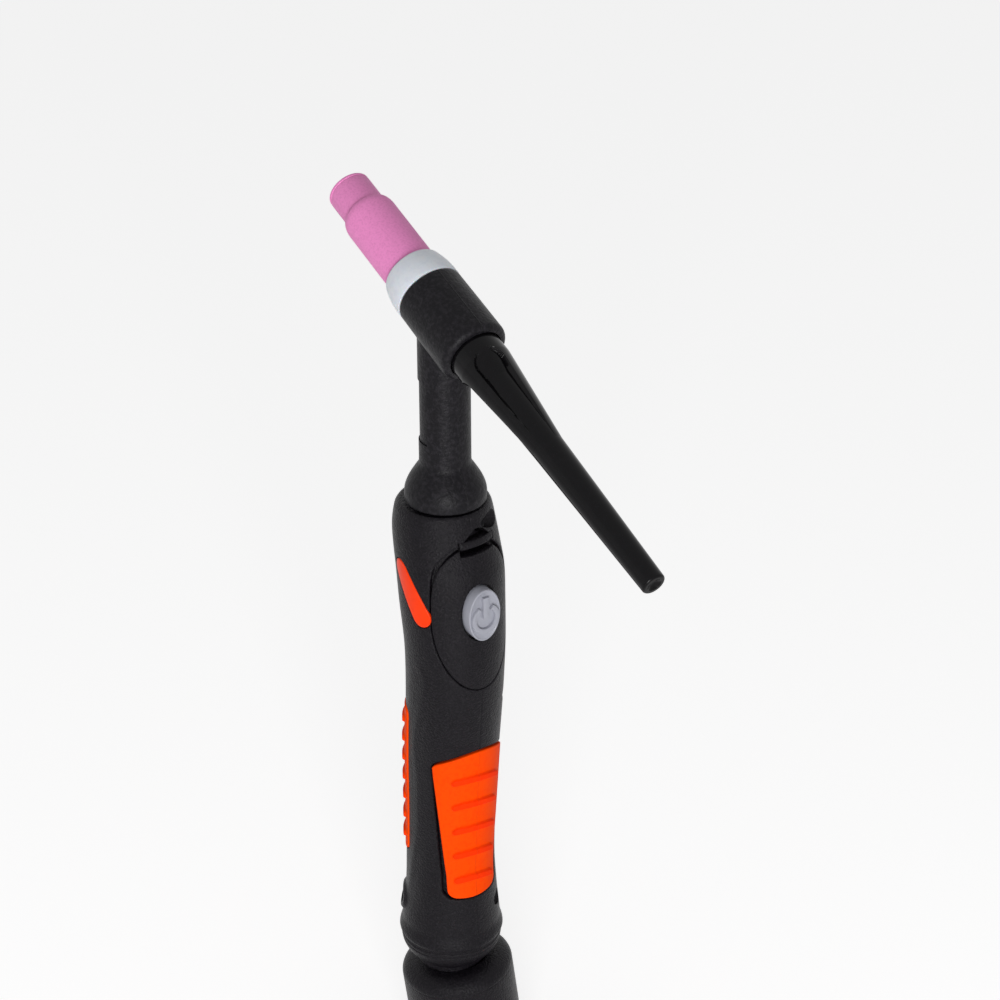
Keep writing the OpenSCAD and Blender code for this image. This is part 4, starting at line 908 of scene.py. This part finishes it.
def lip(side):
    """Half of the small bar between the recess and the slot."""
    section = [(8.95, -1.9), (8.95, -0.1), (9.05, 0.12), (9.3, 0.25),
               (10.95, 0.25), (11.2, 0.12), (11.3, -0.1), (11.3, -1.9)]
    reach = 4.7 if side < 0 else 8.7
    drop, up = np.array(section).T
    rings = []
    for t in np.linspace(0, 1, 12):
        angle = np.degrees(np.arcsin((0.02 + reach * t) / skin_radius(drop)))
        pull = 0.25 * blend01((t - 0.93) / 0.07)
        rings.append(on_skin(drop, angle, up - pull) * (1, -side, 1))
    return stack("lip_bar", rings)


def build_screws():
    """Handle screws on their points; the small ones inside keep their CAD shape."""
    tree = bpy.data.node_groups.get("placed_screws") or scatter_tree()
    screw = lathe("screw", [(0, -7), (1.2, -7), (1.5, -6.6), (1.5, 0), (2.55, 0), (2.55, 1.6), (2.47, 1.85),
                            (2.2, 2.0), (0, 2.0)], "steel", 48, Matrix.Identity(4))
    hexagon = [(1.45 * math.cos(a), 1.45 * math.sin(a)) for a in np.radians(np.arange(0, 360, 60))]
    combine(screw, [prism("hex", hexagon, 0.8, 3, Matrix.Identity(4))], "DIFFERENCE")
    points = [(forward, side * (floor + 0.05), -drop) for forward, drop, side, floor in SCREWS]
    screws = new_object("handle_screws_steel", points, [])
    ways = np.array([(0, side, 0) for _, _, side, _ in SCREWS], float)
    screws.data.attributes.new("way", "FLOAT_VECTOR", "POINT").data.foreach_set("vector", ways.ravel())
    run_tree(screws, tree, {"Screw": screw, "Material": MATERIALS["dark_steel"]})
    bpy.data.objects.remove(screw)
    smooth_out(screws)
    dress(screws, "steel", "torch", "handle_screws", finish="dark_steel")
    paint({"board_screws": "steel"})


# ---- switch
BUTTON_DROP, BUTTON_W, BUTTON_H, MARK_R = 33.5, 12.1, 18.8, 4.4


def build_switch():
    """Switch cover and button; the switch inside keeps its CAD shape."""
    cover = patch("switch_cover_nylon", cover_place, np.linspace(0, 1, 97), np.linspace(0, 1, 151),
                  [(-0.32, 0.0), (-0.14, -0.05), (-0.02, -0.18), (0, -0.4)], 0.0, -1.8)
    smooth_out(cover)
    few = np.linspace(0, 1, 13)
    notch = pocket("notch", strip_place(9.5, 13.7, (-8.2, -8.2), (5.0, 5.0)), few, few, -3.0, 0.0, 0.15)
    hole = ovals("button_hole", [(0.4, 8), (0.4, 19.0), (0.9, 19.0), (0.9, 26)])
    combine(cover, [notch, hole], "DIFFERENCE")
    smooth_out(cover, 32)
    dress(cover, "handle_plastic", "torch", "switch_cover")

    button = ovals("button_abs", [
        (0.3, 16.0, 1.2), (0.3, 16.9, 1.2), (0, 16.9), (0, 22.15), (-0.06, 22.45), (-0.2, 22.65),
        (-0.4, 22.72), (-0.6, 22.66), (-0.75, 22.5), (-0.9, 22.4)])
    ring = ridge("mark_ring", [(MARK_R * math.sin(a), MARK_R * math.cos(a) - 1.0)
                               for a in np.radians(np.linspace(30, 330, 97))], 0.92)
    bar = ridge("mark_bar", [(0, z) for z in np.linspace(-0.5, 6.95, 9)], 1.17)
    combine(button, [ring, bar], "UNION")
    smooth_out(button, 40)
    dress(button, "button_plastic", "button", "button")
    springs = bpy.data.objects.new("button_springs_wire", NODES["button_springs"].data.copy())
    bpy.context.scene.collection.objects.link(springs)
    smooth_out(springs, 50)
    dress(springs, "steel", "torch", "button_springs")
    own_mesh(springs)
    paint({"microswitch": "switch_body", "switch_plunger": "plunger_plastic", "switch_board": "board",
           "switch_terminals": "brass"})


def ovals(name, levels):
    """A closed solid of ovals along +X: (growth, forward place, growth in height if it differs)."""
    turns = np.linspace(0, 2 * np.pi, 96, endpoint=False)
    rings = []
    for grow, forward, *taller in levels:
        wide, high = BUTTON_W / 2 + grow, BUTTON_H / 2 + (taller or [grow])[0]
        rings.append([(forward, wide * math.cos(t), high * math.sin(t) - BUTTON_DROP) for t in turns])
    return stack(name, rings)


def ridge(name, path, half):
    """A raised line on the button's face, along a path of (sideways, up) points."""
    side = [(half, 22.0), (half - 0.06, 23.2), (half - 0.16, 23.4), (half - 0.34, 23.47)]
    section = [(-off, x) for off, x in side] + side[::-1]
    path = np.array(path, float)
    way = np.gradient(path, axis=0)
    way /= np.linalg.norm(way, axis=1)[:, None]
    return stack(name, [[(x, y - off * along_z, z + off * along_y - BUTTON_DROP) for off, x in section]
                        for (y, z), (along_y, along_z) in zip(path, way)])


# ---- grips, label, cuff
GRIP_TOP = 0.4          # height of a grip's face over the skin


def build_grip(node, place, shares, rim, floor, ribs, bow=0.0):
    """A soft grip with its ribs raised by a tree. ribs are the tree's inputs."""
    tree = bpy.data.node_groups.get("raised_ribs") or rib_tree()
    grip = patch(node + "_rubber", place, *shares, rim, GRIP_TOP, floor, bow)
    run_tree(grip, tree, {"Half Width": 1.6, "Material": MATERIALS["grip"], **ribs})
    smooth_out(grip, 40)
    dress(grip, "grip", "torch", node)


def build_grips():
    """Front and rear grips."""
    sizes = bpy.context.scene.torch_sizes
    rows = ends(240, FRONT_CORNER / (FRONT_BOTTOM - FRONT_TOP))
    build_grip("front_grip", front_place, (ends(120, 0.03), rows),
               [(-0.42, 0), (-0.25, -0.05), (-0.1, -0.18), (-0.02, -0.4), (0, -0.7)], -2.1,
               {"First": 98.5, "Pitch": 10.4, "Count": sizes.front_ribs, "Height": sizes.front_rib_height,
                "Half Length": 9.5, "Taper": 0.4}, 0.0223)
    rows = ends(240, REAR_CORNER / (REAR_BOTTOM - REAR_TOP))
    build_grip("rear_grip", rear_place, (ends(110, 0.03), rows),
               [(-0.6, 0), (-0.4, -0.06), (-0.24, -0.2), (-0.16, -0.42), (-0.14, -0.7)], -1.5,
               {"First": 82.0, "Pitch": 7.9, "Count": sizes.rear_ribs, "Height": sizes.rear_rib_height,
                "Half Length": 18.6, "Taper": 0.0})


def build_label():
    """Domed orange label, left bare."""
    label = patch("label_film", label_place, ends(13, 0.12), ends(60, 0.15),
                  [(-0.35, 0.12), (-0.18, 0.08), (-0.06, 0.0), (0, -0.12)], 0.0, -0.8)
    smooth_out(label, 40)
    dress(label, "label", "torch", "label_plate")


def build_cuff():
    """Cable cuff on the swivel ball, with its hollow top and inlet."""
    dish_r, inlet_r, lip_r = 16.35, 6.85, 12.5
    lip_h = -math.sqrt(dish_r ** 2 - lip_r ** 2)
    dish = [(dish_r * math.sin(a), -dish_r * math.cos(a))
            for a in np.linspace(math.asin(inlet_r / dish_r), math.asin(12.2 / dish_r), 24)]
    dome = [(lip_r + 7.1 * math.sin(a), lip_h - 0.1 - 5.2 * (1 - math.cos(a)))
            for a in np.linspace(0.05, 1.5, 24)]
    profile = dish + [(12.3, lip_h + 0.05)] + dome
    profile += [(19.58, -16.0), (19.5, -16.25), (19.58, -16.5), (19.6, -17), (19.6, -55)]
    profile += [(19.3, -55.7), (18.6, -56), (15.4, -56), (15.0, -55.6), (15.0, -32), (10.2, -32),
                (10.2, -27.5), (inlet_r, -27.5), dish[0]]
    cuff = lathe("cable_cuff_nylon", profile, "handle_plastic", 192, BALL_PLACE)
    smooth_out(cuff, 24)
    dress(cuff, "handle_plastic", "cuff", "cable_cuff")
    paint({"ball_seat": "joint_plastic", "swivel_ball": "joint_plastic", "cuff_clip": "steel"})


# ---- stage
WHITE = (1, 1, 1, 1)
FLOOR_HALF = 6000
FLOOR_GLOW = 0.55       # what the floor adds where the camera or a gloss sees it
ROOM_LIGHT = 0.36       # strength of the surroundings on the torch
LAMP_TARGET = Vector((0, 0, -0.1))
CAMERA_PLACE = (0.64741, -0.41395, 0.38063)
CAMERA_RIGHT, CAMERA_BACK = (0.55877, 0.82932, -0.00231), (0.73149, -0.49154, 0.47255)


def build_stage():
    """Floor, soft lamps, white surroundings and the camera."""
    scene = bpy.context.scene
    stage = scene.torch_stage
    scene.view_settings.view_transform = "Standard"
    corners = [(x * FLOOR_HALF, y * FLOOR_HALF, 0) for x, y in ((-1, -1), (1, -1), (1, 1), (-1, 1))]
    floor = new_object("floor", corners, [(0, 1, 2, 3)], Matrix.Translation((0, 0, CAD_BOX[0][2] - 0.5 * MM)))
    material = bpy.data.materials.new("painted_floor")
    material.use_nodes = True
    tree = material.node_tree
    tree.nodes.clear()
    diffuse = add(tree, "ShaderNodeBsdfDiffuse", {"Color": tuple(stage.floor)})
    glow = add(tree, "ShaderNodeEmission", {"Color": WHITE, "Strength": FLOOR_GLOW})
    lifted = add(tree, "ShaderNodeMixShader", {0: white_rays(tree), 2: glow})
    both = add(tree, "ShaderNodeAddShader", [diffuse, lifted])
    add(tree, "ShaderNodeOutputMaterial", {"Surface": both})
    floor.data.materials.append(material)

    world = bpy.data.worlds.new("white_room")
    scene.world = world
    world.use_nodes = True
    tree = world.node_tree
    tree.nodes.clear()
    room = add(tree, "ShaderNodeBackground", {"Color": WHITE, "Strength": ROOM_LIGHT})
    white = add(tree, "ShaderNodeBackground", {"Color": WHITE, "Strength": 1.0})
    mixed = add(tree, "ShaderNodeMixShader", [white_rays(tree), room, white])
    add(tree, "ShaderNodeOutputWorld", {"Surface": mixed})

    lamp("key", (0.98, -0.6, 0.0), 0.5, stage.key_power)
    lamp("fill", (-0.55, -1.1, 0.3), 0.9, stage.fill_power)

    camera = bpy.data.cameras.new("camera")
    camera.sensor_width = 36
    camera.lens = stage.lens
    camera.clip_start = 0.05
    eye = bpy.data.objects.new("camera", camera)
    scene.collection.objects.link(eye)
    right = Vector(CAMERA_RIGHT).normalized()
    back = Vector(CAMERA_BACK).normalized()
    up = back.cross(right).normalized()
    turn = Matrix((right, up, back)).transposed().to_4x4()
    eye.matrix_world = Matrix.Translation(CAMERA_PLACE) @ turn
    scene.camera = eye


def white_rays(tree):
    """1 for rays from the camera, from gloss or through glass, which see plain white."""
    path = add(tree, "ShaderNodeLightPath").outputs
    some = add(tree, "ShaderNodeMath", [path["Is Camera Ray"], path["Is Glossy Ray"]], operation="MAXIMUM")
    return add(tree, "ShaderNodeMath", [some, path["Is Transmission Ray"]], operation="MAXIMUM")


def lamp(name, place, size, power):
    """A square soft lamp that faces the torch."""
    light = bpy.data.lights.new(name, "AREA")
    light.size = size
    light.energy = power
    obj = bpy.data.objects.new(name, light)
    bpy.context.scene.collection.objects.link(obj)
    place = Vector(place)
    turn = (place - LAMP_TARGET).to_track_quat("Z", "Y").to_matrix().to_4x4()
    obj.matrix_world = Matrix.Translation(place) @ turn


# ---- operators and panel
class TORCH_OT_nozzle_end(bpy.types.Operator):
    """Build the nozzle, its gasket and the metal inside"""
    bl_idname = "torch.nozzle_end"
    bl_label = "Nozzle End"

    def execute(self, context):
        build_nozzle_end()
        return {"FINISHED"}


class TORCH_OT_head(bpy.types.Operator):
    """Build the rubber head, neck and collar"""
    bl_idname = "torch.head"
    bl_label = "Head"

    def execute(self, context):
        build_head()
        return {"FINISHED"}


class TORCH_OT_back_cap(bpy.types.Operator):
    """Build the back cap with its grooves"""
    bl_idname = "torch.back_cap"
    bl_label = "Back Cap"

    def execute(self, context):
        build_back_cap()
        return {"FINISHED"}


class TORCH_OT_handle(bpy.types.Operator):
    """Build both shells of the handle"""
    bl_idname = "torch.handle"
    bl_label = "Handle Shells"

    def execute(self, context):
        build_handle()
        return {"FINISHED"}


class TORCH_OT_screws(bpy.types.Operator):
    """Place the handle's screws"""
    bl_idname = "torch.screws"
    bl_label = "Screws"

    def execute(self, context):
        build_screws()
        return {"FINISHED"}


class TORCH_OT_switch(bpy.types.Operator):
    """Build the switch cover and the button"""
    bl_idname = "torch.switch"
    bl_label = "Switch"

    def execute(self, context):
        build_switch()
        return {"FINISHED"}


class TORCH_OT_grips(bpy.types.Operator):
    """Build the soft grips with their ribs"""
    bl_idname = "torch.grips"
    bl_label = "Grips"

    def execute(self, context):
        build_grips()
        return {"FINISHED"}


class TORCH_OT_label(bpy.types.Operator):
    """Build the bare label"""
    bl_idname = "torch.label"
    bl_label = "Label"

    def execute(self, context):
        build_label()
        return {"FINISHED"}


class TORCH_OT_cuff(bpy.types.Operator):
    """Build the cable cuff and finish the ball joint"""
    bl_idname = "torch.cuff"
    bl_label = "Cable Cuff"

    def execute(self, context):
        build_cuff()
        return {"FINISHED"}


class TORCH_OT_stage(bpy.types.Operator):
    """Set up the floor, lamps, surroundings and camera"""
    bl_idname = "torch.stage"
    bl_label = "Stage"

    def execute(self, context):
        build_stage()
        return {"FINISHED"}


STEPS = (TORCH_OT_nozzle_end, TORCH_OT_head, TORCH_OT_back_cap, TORCH_OT_handle, TORCH_OT_screws,
         TORCH_OT_switch, TORCH_OT_grips, TORCH_OT_label, TORCH_OT_cuff, TORCH_OT_stage)


class TORCH_PT_panel(bpy.types.Panel):
    """Lists the torch's pieces"""
    bl_idname = "TORCH_PT_panel"
    bl_label = "TIG Torch"
    bl_space_type = "VIEW_3D"
    bl_region_type = "UI"
    bl_category = "Torch"

    def draw(self, context):
        for step in STEPS:
            self.layout.operator(step.bl_idname)
        for group in (context.scene.torch_colours, context.scene.torch_sizes, context.scene.torch_stage):
            box = self.layout.box()
            for name in group.__annotations__:
                box.prop(group, name)


GROUPS = (("torch_colours", TorchColours), ("torch_sizes", TorchSizes), ("torch_stage", TorchStage))


def register():
    """Registers the settings, the operators and the panel."""
    for name, group in GROUPS:
        bpy.utils.register_class(group)
        setattr(bpy.types.Scene, name, bpy.props.PointerProperty(type=group))
    for cls in STEPS + (TORCH_PT_panel,):
        bpy.utils.register_class(cls)


def unregister():
    """Takes them out again."""
    for cls in reversed(STEPS + (TORCH_PT_panel,)):
        bpy.utils.unregister_class(cls)
    for name, group in reversed(GROUPS):
        delattr(bpy.types.Scene, name)
        bpy.utils.unregister_class(group)


def main():
    """Builds every piece."""
    register()
    make_materials()
    for step in STEPS:
        area, name = step.bl_idname.split(".")
        getattr(getattr(bpy.ops, area), name)()


if __name__ == "__main__":
    main()
